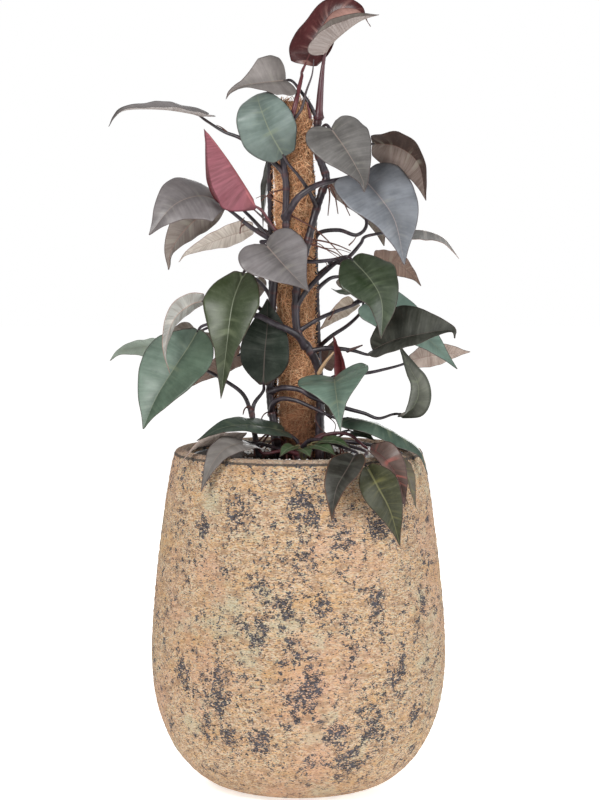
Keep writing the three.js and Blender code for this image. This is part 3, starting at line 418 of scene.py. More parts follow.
def makePlanter():
    dense, along = smoothCurve(planter["side"], 10)
    spaced = np.linspace(0, along[-1], planter["rows"])
    outer = [tuple(point) for point in curveAt((dense, along), spaced)]
    angles = [math.pi * i / planter["lipSteps"] for i in range(1, planter["lipSteps"])]
    lip = [(planter["lipMid"] + planter["lipHalf"] * math.cos(angle),
            planter["crest"] - planter["lipRound"] * (1 - math.sin(angle))) for angle in angles]
    low, high = planter["bottom"][0][1], planter["innerTop"]
    inside = [(r - planter["wall"], z) for r, z in reversed(planter["side"]) if low < z < high]
    profile = planter["foot"] + outer + lip + planter["mouth"] + inside + planter["bottom"]
    vertices, faces = lathe(profile, planter["steps"])
    for v in vertices:
        radius = math.hypot(v[0], v[1])
        if v[2] > 1 and radius > 100:
            swell = noise.noise(Vector((v[0], v[1], v[2] * 2)) * planter["slowSwell"])
            swell += noise.noise(Vector(v) * planter["quickSwell"])
            v[:2] *= 1 + planter["relief"] * swell / radius
    makePiece("speckledPlanter", vertices, faces, planterMaterial(), "planter", ["planter"])


makePlanter()
print("planter turned")


# Small things scattered over a surface: stones, crumbs and fibres

scattering = dict(smallest=(0.6, 0.6, 0.5), largest=(1.35, 1.2, 1.0), tilt=0.34, sizeSeed=17, toneSeed=23)


def addGeometry(tree, kind, values, **settings):
    return addNode(tree, "GeometryNode" + kind, values, **settings).outputs[0]


def randomVector(tree, low, high, seed):
    return addNode(tree, "FunctionNodeRandomValue", {0: low, 1: high, "Seed": seed},
                   data_type="FLOAT_VECTOR").outputs[0]


def scatterTree(name, shape, along):
    # the copies lie any way round, or along the surface
    tree, given, result = newGroup(name, dict(Geometry="surface", Float="density size flatness", Int="seed",
                                              Material="finish"), dict(Geometry="scattered"), "Geometry")
    spread = addNode(tree, "GeometryNodeDistributePointsOnFaces", {
        "Mesh": given["surface"], "Density": given["density"], "Seed": given["seed"]}).outputs
    if along:
        tilt = scattering["tilt"]
        spin = randomVector(tree, (-tilt, -tilt, 0), (tilt, tilt, math.tau), given["seed"])
        local = addNode(tree, "FunctionNodeEulerToRotation", {0: spin}).outputs[0]
        turn = addNode(tree, "FunctionNodeRotateRotation", {0: spread["Rotation"], 1: local},
                       rotation_space="LOCAL").outputs[0]
    else:
        turn = randomVector(tree, (0, 0, 0), (math.tau, math.tau, math.tau), given["seed"])
    scale = randomVector(tree, scattering["smallest"], scattering["largest"], scattering["sizeSeed"])
    placed = addGeometry(tree, "InstanceOnPoints", {
        "Points": spread["Points"], "Instance": shape(tree, given), "Rotation": turn, "Scale": scale})
    tone = addNode(tree, "FunctionNodeRandomValue", {2: 0.0, 3: 1.0, "Seed": scattering["toneSeed"]},
                   data_type="FLOAT").outputs[1]
    toned = addGeometry(tree, "StoreNamedAttribute", {"Geometry": placed, "Name": "tone", "Value": tone},
                        data_type="FLOAT", domain="INSTANCE")
    real = addGeometry(tree, "RealizeInstances", {0: toned})
    finish = addGeometry(tree, "SetMaterial", {"Geometry": real, "Material": given["finish"]})
    tree.links.new(finish, result["scattered"])
    return tree


def squashed(tree, ball, long, wide, given):
    size = addNode(tree, "ShaderNodeCombineXYZ", {0: long, 1: wide, 2: given["flatness"]}).outputs[0]
    return addGeometry(tree, "Transform", {"Geometry": ball, "Scale": size})


def stoneShape(tree, given):
    ball = addGeometry(tree, "MeshUVSphere", {"Radius": given["size"], "Segments": 8, "Rings": 5})
    return addGeometry(tree, "SetShadeSmooth", {0: squashed(tree, ball, 1.0, 0.85, given)})


def chipShape(tree, given):
    ball = addGeometry(tree, "MeshIcoSphere", {"Radius": given["size"], "Subdivisions": 1})
    return squashed(tree, ball, 1.5, 0.8, given)


def fibreShape(tree, given):
    # one bent bristle, lying along the surface with its ends lifted
    reach, lift = weigh(tree, (given["size"], 7.0)), given["flatness"]
    bend = {"Resolution": 5}
    for label, values in (("Start", {0: weigh(tree, (reach, -1.0)), 2: lift}),
                          ("Middle", {1: weigh(tree, (reach, 0.35))}), ("End", {0: reach, 2: lift})):
        bend[label] = addNode(tree, "ShaderNodeCombineXYZ", values).outputs[0]
    line = addGeometry(tree, "CurveQuadraticBezier", bend)
    thick = weigh(tree, (given["size"], 0.3))
    ring = addGeometry(tree, "CurvePrimitiveCircle", {"Resolution": 3, "Radius": thick})
    return addGeometry(tree, "CurveToMesh", {"Curve": line, "Profile Curve": ring})


def scatter(name, vertices, faces, shape, finish, amounts, along=False):
    # runs the node tree on a base mesh and returns the result as a plain mesh
    maker = addObject(name + "Base", newMesh(name + "Base", vertices, faces))
    modifier = maker.modifiers.new(name, "NODES")
    modifier.node_group = scatterTree(name, shape, along)
    inputs = {item.name: item.identifier for item in modifier.node_group.interface.items_tree
              if item.in_out == "INPUT"}
    for label, value in {**amounts, "size": amounts["size"] * mm, "finish": finish}.items():
        modifier[inputs[label]] = value
    bpy.context.view_layer.update()
    mesh = bpy.data.meshes.new_from_object(maker.evaluated_get(bpy.context.evaluated_depsgraph_get()))
    bpy.data.objects.remove(maker)
    return mesh


def joinMeshes(name, meshes, replaced):
    # makes one piece of several meshes
    bpy.ops.object.select_all(action="DESELECT")
    parts = [addObject(name, mesh) for mesh in meshes]
    for part in parts:
        part.select_set(True)
    bpy.context.view_layer.objects.active = parts[0]
    bpy.ops.object.join()
    parts[0].name = name
    placePiece(parts[0], replaced)


# Liner, soil and gravel inside the planter

liner = dict(
    wall=[(0, 20.3), (96, 20.3), (125.8, 390), (126.5, 397), (128.4, 397.4), (129, 399.6), (129, 401.6),
          (127.8, 403), (126.2, 403), (125.4, 401.4), (94.4, 21.9), (0, 21.9)],
    sides=96, pale=(34, 35, 37), dark=(24, 25, 27), scuffScale=90.0, fineScale=700,
)
soil = dict(
    ground=[(0, 398.6), (24, 398.6), (48, 398.8), (69, 399)], sides=60, clearOfPole=20,
    bark=(70, 50, 38), loam=(38, 29, 24), damp=(22, 17, 14), crumbScale=420.0, toneScale=300.0,
    crumbs=dict(density=52000, size=2.6, flatness=0.45, seed=4),
)
gravel = dict(
    bed=[(124.2, 398.4), (124.2, 401), (121.2, 402.5), (72, 402.5), (66, 400), (66, 398.4)], sides=120,
    layFrom=399.5, bareFrom=-66, bareTo=60,  # the bed's top is laid, but for a bare stretch at the left
    stones=[(0, (160, 168, 180)), (0.28, (214, 202, 186)), (0.45, (238, 238, 236)), (0.8, (238, 238, 236)),
            (1, (146, 112, 88))],
    speck=(140, 128, 116), speckScale=1500.0, pebbles=dict(density=56000, size=2.4, flatness=0.75, seed=4),
)


def linerMaterial():
    material, tree = newMaterial("blackLiner", 0.55)
    place = objectPlace(tree)
    scuff = useGroup(tree, mottle, place=place, scale=liner["scuffScale"], seed=1.0, light=liner["pale"],
                     dark=liner["dark"])
    return dress(material, scuff["colour"], noiseAt(tree, place, liner["fineScale"]), 0.1, 0.3)


def soilMaterial():
    material, tree = newMaterial("pottingSoil", 0.95)
    place = objectPlace(tree)
    crumb = useGroup(tree, grain, place=place, scale=soil["crumbScale"], seed=8.0)
    earth = useGroup(tree, mottle, place=place, scale=soil["toneScale"], seed=2.0, light=soil["bark"],
                     dark=soil["loam"])
    colour = layered(tree, earth["colour"], ((crumb["mask"], 0.4), soil["damp"]))
    return dress(material, colour, crumb["height"], 2.0)


def pebbleMaterial():
    material, tree = newMaterial("palePebbles", 0.7)
    speck = useGroup(tree, grain, place=objectPlace(tree), scale=gravel["speckScale"], seed=3.0)
    colour = colourRamp(tree, attribute(tree, "tone"), gravel["stones"])
    colour = layered(tree, colour, ((speck["mask"], 0.3), gravel["speck"]))
    return dress(material, colour, speck["height"], 0.3, 0.5)


def makeFilling():
    makePiece("growerLiner", *lathe(liner["wall"], liner["sides"]), linerMaterial(), "liner", ["liner"])
    earth = soilMaterial()
    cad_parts["soil"].material_slots[0].material = earth
    # crumbs of bark over the bare soil round the stems
    vertices, faces = lathe(soil["ground"], soil["sides"])
    keep = [face for face in faces
            if min(math.hypot(vertices[c][0], vertices[c][1]) for c in face) > soil["clearOfPole"]]
    crumbs = scatter("barkCrumbs", vertices, keep, chipShape, earth, soil["crumbs"])
    placePiece(addObject("barkCrumbs", crumbs))
    vertices, faces = lathe(gravel["bed"], gravel["sides"], closed=True)
    bed = newMesh("gravelBed", vertices, faces, earth)
    laid = [face for face in faces if min(vertices[c][2] for c in face) > gravel["layFrom"]
            and (vertices[face[0]][0] > gravel["bareFrom"] or vertices[face[0]][1] > gravel["bareTo"])]
    pebbles = scatter("pebbles", vertices, laid, stoneShape, pebbleMaterial(), gravel["pebbles"])
    joinMeshes("palePebbles", [bed, pebbles], ["gravel"])


makeFilling()
print("planter filled")


# Coir pole: a lumpy core of matted fibre, with loose fibres over it, round a wooden stake

pole = dict(
    radius=20.4, topRadius=16.5, foot=356.2, shoulder=800, top=823.5, crown=(13.5, 825), bore=9,
    leanStart=430, leanX=-1, lean=-0.0175, steps=72, rows=150, lump=1.5, lumpScale=0.11, smallScale=0.4,
    fibresFrom=396, fibresOutside=11, fibres=dict(density=98000, size=1.3, flatness=0.0032, seed=11),
    # the foot of the pole darkens, partly damp and partly painted shade
    shadeDampTop=520, shadeDampFoot=425, strandScale=420, drawn=0.5, cloudScale=34, stakeScale=320, stakeDrawn=0.08,
    straw=(255, 226, 184), husk=(250, 192, 144), shadow=(122, 76, 50),
    stake=[(0.3, (96, 70, 46)), (0.7, (150, 116, 80))],
)


def leanAt(z):
    return pole["leanX"] + pole["lean"] * (z - pole["leanStart"])


def poleRadius(z):
    share = min(1, max(0, (z - pole["shoulder"]) / (pole["top"] - pole["shoulder"])))
    return pole["radius"] + (pole["topRadius"] - pole["radius"]) * share ** 1.5


def coirMaterial(name, low):
    material, tree = newMaterial(name, 0.9)
    place = objectPlace(tree)
    strand = noiseAt(tree, stretched(tree, place, pole["drawn"]), pole["strandScale"], 4, 0.7, 2)
    colour = colourRamp(tree, total(tree, (attribute(tree, "tone"), 0.6), (strand, 0.4)),
                        [(low, pole["shadow"]), (0.5, pole["husk"]), (0.85, pole["straw"])])
    cloud = softStep(tree, noiseAt(tree, place, pole["cloudScale"], 3, 0.6, 6), 0.4, 0.66)
    height = addNode(tree, "ShaderNodeSeparateXYZ", {0: place}).outputs[2]
    damp = softStep(tree, height, pole["shadeDampTop"] * mm, pole["shadeDampFoot"] * mm)
    # painted shade in clouds, and darker towards the soil, partly damp and partly painted shade
    colour = layered(tree, colour, ((cloud, 0.2), pole["shadow"]), ((damp, 0.85), pole["shadow"]))
    return dress(material, colour, strand, 1.2)


def stakeMaterial():
    material, tree = newMaterial("stakeTimber", 0.8)
    upright = stretched(tree, objectPlace(tree), pole["stakeDrawn"])
    rings = noiseAt(tree, upright, pole["stakeScale"], 4, 0.6)
    return dress(material, colourRamp(tree, rings, pole["stake"]), rings, 0.4)


def makePole():
    heights = np.linspace(pole["foot"], pole["top"], pole["rows"])
    profile = [(pole["bore"], pole["foot"])] + [(poleRadius(z), z) for z in heights]
    profile += [pole["crown"], (pole["bore"], pole["top"])]
    vertices, faces = lathe(profile, pole["steps"], closed=True)
    for v in vertices:
        radius = math.hypot(v[0], v[1])
        if radius > pole["bore"] + 1:
            lump = noise.noise(Vector((v[0], v[1], v[2] * 0.7)) * pole["lumpScale"])
            lump += 0.5 * noise.noise(Vector(v) * pole["smallScale"])
            v[:2] *= 1 + pole["lump"] * lump / radius
        v[0] += leanAt(v[2])
    matt = newMesh("mattedCoir", vertices, faces, coirMaterial("mattedCoir", 0.1))
    matt.shade_smooth()
    outside = [face for face in faces if all(
        z > pole["fibresFrom"] and math.hypot(x - leanAt(z), y) > pole["fibresOutside"]
        for x, y, z in vertices[list(face)])]
    hairs = scatter("coirFibres", vertices, outside, fibreShape, coirMaterial("looseCoir", 0.0),
                    pole["fibres"], along=True)
    joinMeshes("coirPole", [matt, hairs], ["coir_pole"])
    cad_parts["pole_core"].material_slots[0].material = stakeMaterial()


makePole()
print("coir pole wrapped")


# Leaves: one row for each, with its name, tone, full width laid flat, the way its upper side looks, how far
# its left and right halves rise from the midrib in degrees, the further turn at the margin, the colours of
# its upper and under side, and its midrib from base to tip. lobe scales the heart-shaped base, wedge narrows
# it, oval moves the widest line towards the tip and nose narrows the tip.

def leafRow(name, tone, width, face, fold, cup, upper, under, rib, **shape):
    return dict(name=name, tone=tone, width=width, face=face, fold=fold, cup=cup, upper=upper, under=under,
                rib=rib, **shape)


leaves = [
    leafRow("crown_red", "red", 62, (-0.35, -0.9, 0.25), (34, 0), -20, (174, 130, 120), (112, 82, 80),
        [(8, 15, 869), (23, 26, 903), (42, 25, 932), (70, 17, 934), (86, 11, 914)], lobe=0.1, wedge=0.3),
    leafRow("crown_canoe", "grey", 50, (-0.6, -0.2, 0.75), (55, 55), 0, (120, 110, 104), (150, 140, 136),
        [(30, -10, 881), (37, -18, 892), (50, -32, 904), (72, -48, 919), (94, -60, 925)], lobe=0.6),
    leafRow("upper_left_grey", "grey", 68, (-0.35, -1, 0), (0, 50), -16, (133, 126, 124), (132, 120, 116),
        [(-15, -5, 850), (-42, -18, 847), (-66, -33, 843), (-80, -43, 836), (-85, -51, 827)], lobe=0.3,
        oval=-0.4, nose=0.6),
    leafRow("upper_round_green", "green", 72, (0.1, -1, 0.15), (-5, -5), -15, (101, 116, 111),
        (120, 110, 104), [(-17, -44, 760), (-33, -52, 788), (-45, -50, 818), (-49, -27, 833),
        (-50, -3, 824)], lobe=0.1, wedge=0.5, oval=0.8),
    leafRow("long_left", "grey", 60, (0, -0.16, 1), (16, 16), -10, (128, 121, 122), (154, 146, 143),
        [(-115, -15, 808), (-130, -20, 812), (-162, -32, 816), (-202, -42, 815), (-216, -46, 806),
        (-223, -48, 795)], lobe=1),
    leafRow("young_pink", "pink", 74, (-0.83, 0, -0.55), (70, 84), -8, (112, 48, 56), (129, 73, 83),
        [(-51, -45, 700), (-82, -77, 752), (-110, -84, 792)], lobe=0.1, wedge=0.85, oval=1),
    leafRow("left_big_grey", "grey", 80, (-0.3, -0.85, 0.4), (8, 8), -30, (117, 111, 113), (128, 116, 108),
        [(-91, -40, 706), (-116, -58, 714), (-146, -80, 703), (-174, -88, 669)], lobe=0.2, wedge=0.6,
        oval=0.5),
    leafRow("left_taupe", "tan", 60, (-0.4, 0.85, -0.2), (45, 5), -10, (94, 92, 90), (126, 117, 111),
        [(-90, -4, 703), (-125, -14, 683), (-150, -28, 652), (-154, -33, 626)], lobe=0.1, wedge=0.6),
    leafRow("left_cream", "cream", 48, (-0.25, 0.3, 0.9), (-14, 22), -10, (220, 210, 200), (230, 221, 211),
        [(-55, 10, 674), (-83, 5, 666), (-112, 0, 655), (-133, -5, 645), (-143, -5, 634)], lobe=0.1,
        wedge=0.4),
    leafRow("centre_heart", "grey", 85, (0, -0.75, 0.65), (12, 12), -25, (125, 120, 122), (128, 116, 108),
        [(-39, -52, 657), (-13, -78, 629), (12, -98, 604)]),
    leafRow("upper_right_heart", "grey", 78, (0.15, -0.8, 0.55), (12, 12), -25, (101, 98, 97),
        (122, 110, 104), [(38, -42, 793), (57, -60, 766), (74, -72, 735), (77, -76, 719)]),
    leafRow("right_big_blue", "blue", 96, (0.1, -0.85, 0.5), (24, 6), -20, (120, 124, 132),
        (120, 112, 108), [(76, -30, 735), (99, -52, 708), (114, -66, 682), (124, -76, 634)], lobe=0.7),
    leafRow("right_brown", "tan", 80, (0.6, 0.55, 0.55), (-5, -18), -20, (74, 68, 64), (119, 106, 100),
        [(88, -8, 776), (118, -14, 772), (143, -22, 751), (151, -30, 708)], lobe=0.1, wedge=0.5, oval=0.8),
    leafRow("far_right_thin", "cream", 42, (0.1, -0.25, 1), (-15, -15), -10, (163, 161, 159),
        (164, 160, 150), [(122, 12, 672), (151, 12, 671), (175, 8, 661), (192, 5, 638)], lobe=0.1),
    leafRow("right_brown_low", "tan", 56, (0.5, 0.6, 0.6), (0, 0), -20, (108, 97, 90), (146, 122, 110),
        [(92, 20, 635), (116, 20, 634), (135, 14, 621), (147, 8, 605)], lobe=0.3),
    leafRow("right_round_green", "green", 76, (0.1, -0.85, 0.5), (18, 6), -30, (33, 50, 22),
        (110, 100, 92), [(63, -36, 639), (86, -58, 614), (98, -68, 588), (97, -72, 547)], lobe=0.2,
        wedge=0.5, oval=0.8, nose=0.3),
    leafRow("right_back_green", "green", 66, (0.2, -0.7, 0.65), (5, 5), -15, (118, 144, 132),
        (110, 100, 92), [(88, 15, 585), (118, 12, 571), (156, 10, 541), (191, 10, 505)], lobe=0.8),
    leafRow("right_big_dark", "dark", 85, (-0.1, -0.8, 0.5), (45, 14), -15, (52, 54, 47), (112, 106, 98),
        [(88, -20, 530), (114, -38, 543), (149, -54, 552), (178, -64, 556), (184, -67, 547)], lobe=0.1,
        wedge=0.6, oval=0.9),
    leafRow("right_tan", "tan", 54, (0, 0.6, 0.8), (5, 5), -10, (96, 100, 95), (168, 152, 142),
        [(134, 30, 515), (168, 34, 521), (208, 36, 524)], lobe=0.1, wedge=0.6, oval=0.8),
    leafRow("right_curled", "green", 34, (0.3, -0.9, 0.2), (40, 30), -6, (98, 100, 91), (156, 152, 143),
        [(121, -18, 452), (135, -30, 461), (142, -38, 477), (141, -42, 493), (133, -42, 508),
        (118, -40, 540)], lobe=0.1, wedge=0.6, oval=0.6),
    leafRow("front_triangle", "green", 88, (0, -0.7, 0.75), (5, 28), -10, (98, 121, 108), (110, 104, 96),
        [(42, -58, 500), (43, -86, 491), (46, -108, 468), (49, -118, 442)], lobe=0.9, nose=0.5),
    leafRow("left_long_green", "green", 72, (-0.1, -0.9, 0.4), (8, 28), -20, (57, 69, 41), (112, 104, 96),
        [(-65, -42, 622), (-77, -69, 589), (-84, -83, 539), (-91, -83, 477)], lobe=0.1, wedge=0.6,
        oval=1.2, nose=0.5),
    leafRow("left_low_green", "green", 90, (-0.15, -0.85, 0.5), (8, 28), -20, (95, 114, 102),
        (110, 104, 98), [(-119, -42, 555), (-130, -56, 536), (-148, -70, 509), (-167, -82, 478),
        (-182, -88, 442)], lobe=0.1, wedge=0.8, oval=0.9),
    leafRow("left_curled_cream", "cream", 36, (-0.85, 0.5, 0.2), (10, 10), 0, (84, 92, 83),
        (167, 167, 162), [(-112, -52, 591), (-128, -60, 586), (-145, -72, 572), (-154, -84, 549),
        (-155, -94, 528), (-150, -100, 508)], lobe=0.1, wedge=0.4),
    leafRow("left_thin_green", "green", 58, (0, -0.4, 0.92), (0, 0), -10, (157, 172, 158), (120, 116, 106),
        [(-150, 0, 531), (-183, -8, 533), (-212, -14, 528), (-225, -18, 517)], lobe=0.2),
    leafRow("centre_dark", "dark", 59, (-0.1, -0.95, 0.1), (5, 5), -15, (27, 39, 29), (80, 74, 68),
        [(-42, -32, 490), (-40, -42, 528), (-37, -42, 560), (-37, -34, 592)], lobe=0.1, wedge=0.8,
        oval=1.2),
    leafRow("left_back_tan", "tan", 58, (-0.2, 0.5, 0.85), (5, 5), -10, (92, 93, 80), (160, 136, 124),
        [(-72, 12, 523), (-100, 10, 505), (-128, 5, 485)]),
    leafRow("low_left_green", "green", 52, (0, -0.35, 0.94), (5, 5), -10, (57, 73, 62), (100, 94, 86),
        [(-16, -48, 436), (-57, -70, 445), (-89, -84, 443), (-119, -96, 429)], lobe=0.2, oval=0.6),
    leafRow("low_left_cream", "cream", 38, (-0.5, 0.35, 0.8), (0, 0), 0, (118, 116, 110), (208, 196, 188),
        [(-68, -55, 427), (-101, -72, 428), (-122, -87, 421), (-144, -93, 393)], lobe=0.2),
    leafRow("low_left_grey", "grey", 50, (-0.3, -0.6, 0.7), (8, 8), -10, (125, 119, 116), (128, 118, 110),
        [(-46, -73.5, 418), (-67, -91.5, 425), (-85, -108, 421), (-98, -124, 408), (-108, -130, 388),
        (-113, -132, 373)], lobe=0.2),
    leafRow("rim_dark", "dark", 49, (0, -0.9, 0.4), (0, 45), -10, (42, 40, 34), (88, 80, 74),
        [(65, -138, 416), (56, -156, 402), (45, -166, 384), (40, -172, 364), (38, -174, 345)], lobe=0.1,
        wedge=0.5),
    leafRow("rim_olive", "olive", 52, (0.2, -0.95, 0.2), (24, 8), -10, (44, 46, 9), (110, 100, 84),
        [(79, -148, 404), (92, -151, 380), (106, -145, 352), (118, -134, 310)], lobe=0.1, wedge=0.6),
    leafRow("rim_red_fold", "red", 42, (0.3, -0.8, 0.4), (40, 40), -6, (99, 79, 73), (100, 106, 102),
        [(84, -101, 421), (103, -119, 407), (117, -122, 384), (124, -120, 354)], lobe=0.1, wedge=0.7),
    leafRow("rim_olive_strip", "olive", 27, (0.8, -0.5, 0.2), (20, 20), -6, (86, 76, 58), (100, 88, 70),
        [(116, -94, 410), (126, -100, 391), (132, -102, 372), (138, -100, 349)], lobe=0.1, wedge=0.6),
    leafRow("rim_long_green", "green", 45, (0, -0.5, 0.85), (5, -30), -10, (60, 81, 68), (108, 104, 96),
        [(56, -67, 454), (88, -80, 448), (119, -76, 432), (143, -69, 414), (153, -64, 385)], lobe=0.1,
        oval=0.8),
    leafRow("centre_back_cream", "cream", 32, (0, 0.5, 0.85), (5, 5), 0, (140, 130, 118), (196, 182, 165),
        [(67, 15, 586), (46, 20, 569), (24, 28, 550)], lobe=0.2),
    leafRow("upper_dark_edge", "dark", 34, (-1, 0.3, 0), (5, 5), 0, (44, 54, 46), (60, 64, 54),
        [(-32, 40, 758), (-41, 42, 715), (-43, 40, 672)], lobe=0.2),
    leafRow("back_upper", "green", 64, (0.2, 0.9, 0.4), (8, 8), -20, (70, 92, 78), (120, 110, 102),
        [(62, 60, 730), (90, 85, 700), (105, 95, 650)]),
    leafRow("back_left_mid", "green", 52, (-0.2, 0.9, 0.4), (8, 8), -20, (70, 92, 74), (120, 110, 102),
        [(-60, 50, 610), (-78, 75, 580), (-88, 85, 530)]),
    leafRow("back_left_low", "green", 60, (-0.2, 0.9, 0.4), (8, 8), -20, (74, 98, 80), (120, 112, 104),
        [(-125, 50, 545), (-150, 70, 515), (-168, 85, 470)]),
    leafRow("back_top", "grey", 60, (-0.2, 0.8, 0.6), (8, 8), -20, (108, 106, 104), (130, 120, 112),
        [(-18, 38, 790), (-36, 62, 800), (-48, 82, 780)]),
    leafRow("back_right_mid", "green", 54, (0.2, 0.9, 0.4), (8, 8), -20, (68, 90, 72), (120, 110, 100),
        [(66, 48, 614), (84, 72, 600), (92, 84, 566)]),
    leafRow("back_low", "green", 60, (0.1, 0.8, 0.6), (8, 8), -20, (72, 98, 78), (112, 104, 96),
        [(20, 45, 480), (34, 80, 470), (40, 110, 435)]),
    leafRow("back_upper_right", "grey", 52, (0.2, 0.8, 0.6), (8, 8), -20, (104, 104, 104), (128, 118, 110),
        [(36, 30, 780), (54, 58, 775), (64, 78, 740)]),
    leafRow("back_rim", "green", 56, (-0.1, 0.6, 0.8), (8, 8), -10, (76, 102, 84), (112, 104, 96),
        [(0, 50, 440), (-5, 110, 448), (-8, 150, 430), (-10, 172, 395)]),
]

blade = dict(
    rows=72, columns=(0, 0.035, 0.09, 0.2, 0.34, 0.5, 0.66, 0.8, 0.92, 1), thick=0.66, thin=0.3, thinEdge=7,
    ridge=1.0, ridgeReach=1.5, quilt=0.5, quiltFrom=6, quiltTo=8, groove=0.5, grooveReach=2.5, fullSize=70,
    veins=7.5, ripple=1.1, longWave=2.2, shortWave=4.7, phase=0.37, youngPhase=0.21,
    flatUnder=4, steepest=2.2,
    # down the margin: where the vein that ends there starts, share of the width, reach along the midrib
    margin=[(0, 0.13, -0.075), (0.02, 0.27, -0.1), (0.05, 0.4, -0.055), (0.1, 0.475, 0.05),
            (0.18, 0.495, 0.19), (0.3, 0.45, 0.36), (0.45, 0.345, 0.53), (0.62, 0.215, 0.7),
            (0.8, 0.095, 0.85), (1, 0.008, 1)],
)


def leafFrame(leaf):
    curve = smoothCurve(leaf["rib"])
    rib = np.array(leaf["rib"], float)
    return curve, unit(np.cross(rib[-1] - rib[0], np.array(leaf["face"], float))), curve[1][-1]


def ribPoints(shaped, share):
    # origin, tangent, normal and sideways direction of the midrib at each share of its length
    curve, side, length = shaped
    inside, step = np.clip(share, 0, 1) * length, length * 0.004
    ahead, behind = np.minimum(inside + step, length), np.maximum(inside - step, 0)
    tangent = unit(curveAt(curve, ahead) - curveAt(curve, behind))
    origin = curveAt(curve, inside) + tangent * (np.minimum(share, 0) * length)[..., None]
    normal = unit(np.cross(np.broadcast_to(side, tangent.shape), tangent))
    return origin, tangent, normal, np.cross(tangent, normal)


def leafMargin(leaf, rows):
    vein, out, reach = spline(blade["margin"], np.linspace(0, len(blade["margin"]) - 1, rows)).T
    stretch = 1 - 0.35 * leaf.get("oval", 0)
    reach = np.where(reach > 0, np.abs(reach) ** stretch, reach * leaf.get("lobe", 1))
    nose = leaf.get("nose", 0) * np.clip((reach - 0.3) / 0.35, 0, 1)
    wedge = leaf.get("wedge", 0) * (1 - np.clip(reach / 0.3, 0, 1)) ** 2
    return np.clip(vein, 0, 1) ** stretch, out * (1 - nose) * (1 - wedge), reach


def bladeMesh(leaf, rows, phase):
    # two like sheets, upper and under, closed round their edge, with marks for the skin's pattern
    width = leaf["width"]
    vein, out, reach = (value[:, None] for value in leafMargin(leaf, rows))
    columns = np.array([-c for c in reversed(blade["columns"][1:])] + list(blade["columns"]))
    o, hand = np.abs(columns)[None, :], np.sign(columns)[None, :]
    share = vein + (reach - vein) * o
    origin, _, normal, across = ribPoints(leafFrame(leaf), share)
    ribGap, edgeGap = out * width * o, out * width * (1 - o)
    narrow = np.clip(out * width / blade["flatUnder"], 0, 1)  # the halves flatten out at narrow ends
    turn = np.where(columns > 0, leaf["fold"][0], leaf["fold"][1])[None, :] * narrow
    curl = leaf["cup"] * out * o * 2
    half, full = np.radians(turn + curl * 0.5), np.radians(turn + curl)
    middle = origin + across * (hand * ribGap * np.cos(half))[..., None]
    middle = middle + normal * (ribGap * np.sin(half))[..., None]
    up = normal * np.cos(full)[..., None] - across * (hand * np.sin(full))[..., None]
    centre = len(blade["columns"]) - 1
    mean = np.radians(leaf["fold"][0] + leaf["fold"][1]) / 2 * narrow
    up[:, centre] = normal[:, centre] * np.minimum(blade["steepest"], 1 / np.cos(mean))
    # relief: the blade swells between its veins and waves a little at the margin
    row = np.broadcast_to(vein, edgeGap.shape)
    size = min(1, width / blade["fullSize"])
    pillow = np.abs(np.sin(math.pi * blade["veins"] * row ** 0.9)) ** 0.8
    mask = np.clip(ribGap / blade["quiltFrom"], 0, 1) * np.clip(edgeGap / blade["quiltTo"], 0, 1)
    relief = blade["quilt"] * size * (pillow - 0.5) * mask
    relief -= blade["groove"] * size * np.exp(-(ribGap / blade["grooveReach"]) ** 2) * (1 - row) ** 0.5
    wave = np.sin(2 * math.pi * (blade["longWave"] * share + phase))
    wave = wave + 0.6 * np.sin(2 * math.pi * (blade["shortWave"] * share + 2 * phase + hand * 0.2))
    relief += blade["ripple"] * size * wave * o ** 2 * np.clip(out * 2, 0, 1)
    thickness = blade["thin"] + (blade["thick"] - blade["thin"]) * np.clip(edgeGap / blade["thinEdge"], 0, 1)
    ridge = blade["ridge"] * size * np.exp(-(ribGap / blade["ridgeReach"]) ** 2) * (1 - 0.8 * row)
    top = middle + up * (relief + thickness / 2)[..., None]
    low = middle + up * (relief - thickness / 2 - ridge)[..., None]
    vertices = np.vstack([top.reshape(-1, 3), low.reshape(-1, 3)])
    marks = dict(veinRow=row, ribGap=ribGap * np.where(hand == 0, 1, hand), edgeGap=edgeGap)
    marks = {label: np.tile(values.ravel(), 2) for label, values in marks.items()}
    marks["side"] = np.repeat([0.0, 1.0], row.size)
    return vertices, outward(vertices, sheetFaces(*row.shape)), marks


def sheetFaces(rows, count):
    faces, under = [], rows * count
    for row in range(rows - 1):
        for column in range(count - 1):
            a = row * count + column
            faces.append((a, a + 1, a + count + 1, a + count))
            faces.append((under + a, under + a + count, under + a + count + 1, under + a + 1))
        left, right = row * count, row * count + count - 1
        faces.append((left, left + count, under + left + count, under + left))
        faces.append((right + count, right, under + right, under + right + count))
    for column in range(count - 1):
        last = (rows - 1) * count + column
        faces.append((column + 1, column, under + column, under + column + 1))
        faces.append((last, last + 1, under + last + 1, under + last))
    return faces


# tints of the skin: the deep and pale of the upper side, its painted shade and darker clouds, and the streaks
# of the under side;
# then the scales of its patterns, and how wide and strong its lines are
leafLook = dict(
    deep=(206, 206, 204), pale=(222, 222, 214), shadeAndCloud=(180, 178, 176), streaks=(204, 196, 192),
    veinScale=46, broadScale=13, cloudScale=34, shadeCloudScale=17, fleckScale=320, drawnOut=0.0007,
    fleckStrength=0.08, ribStrength=0.6, edgeStrength=0.7, bumps=0.35, bumpStrength=0.6,
)


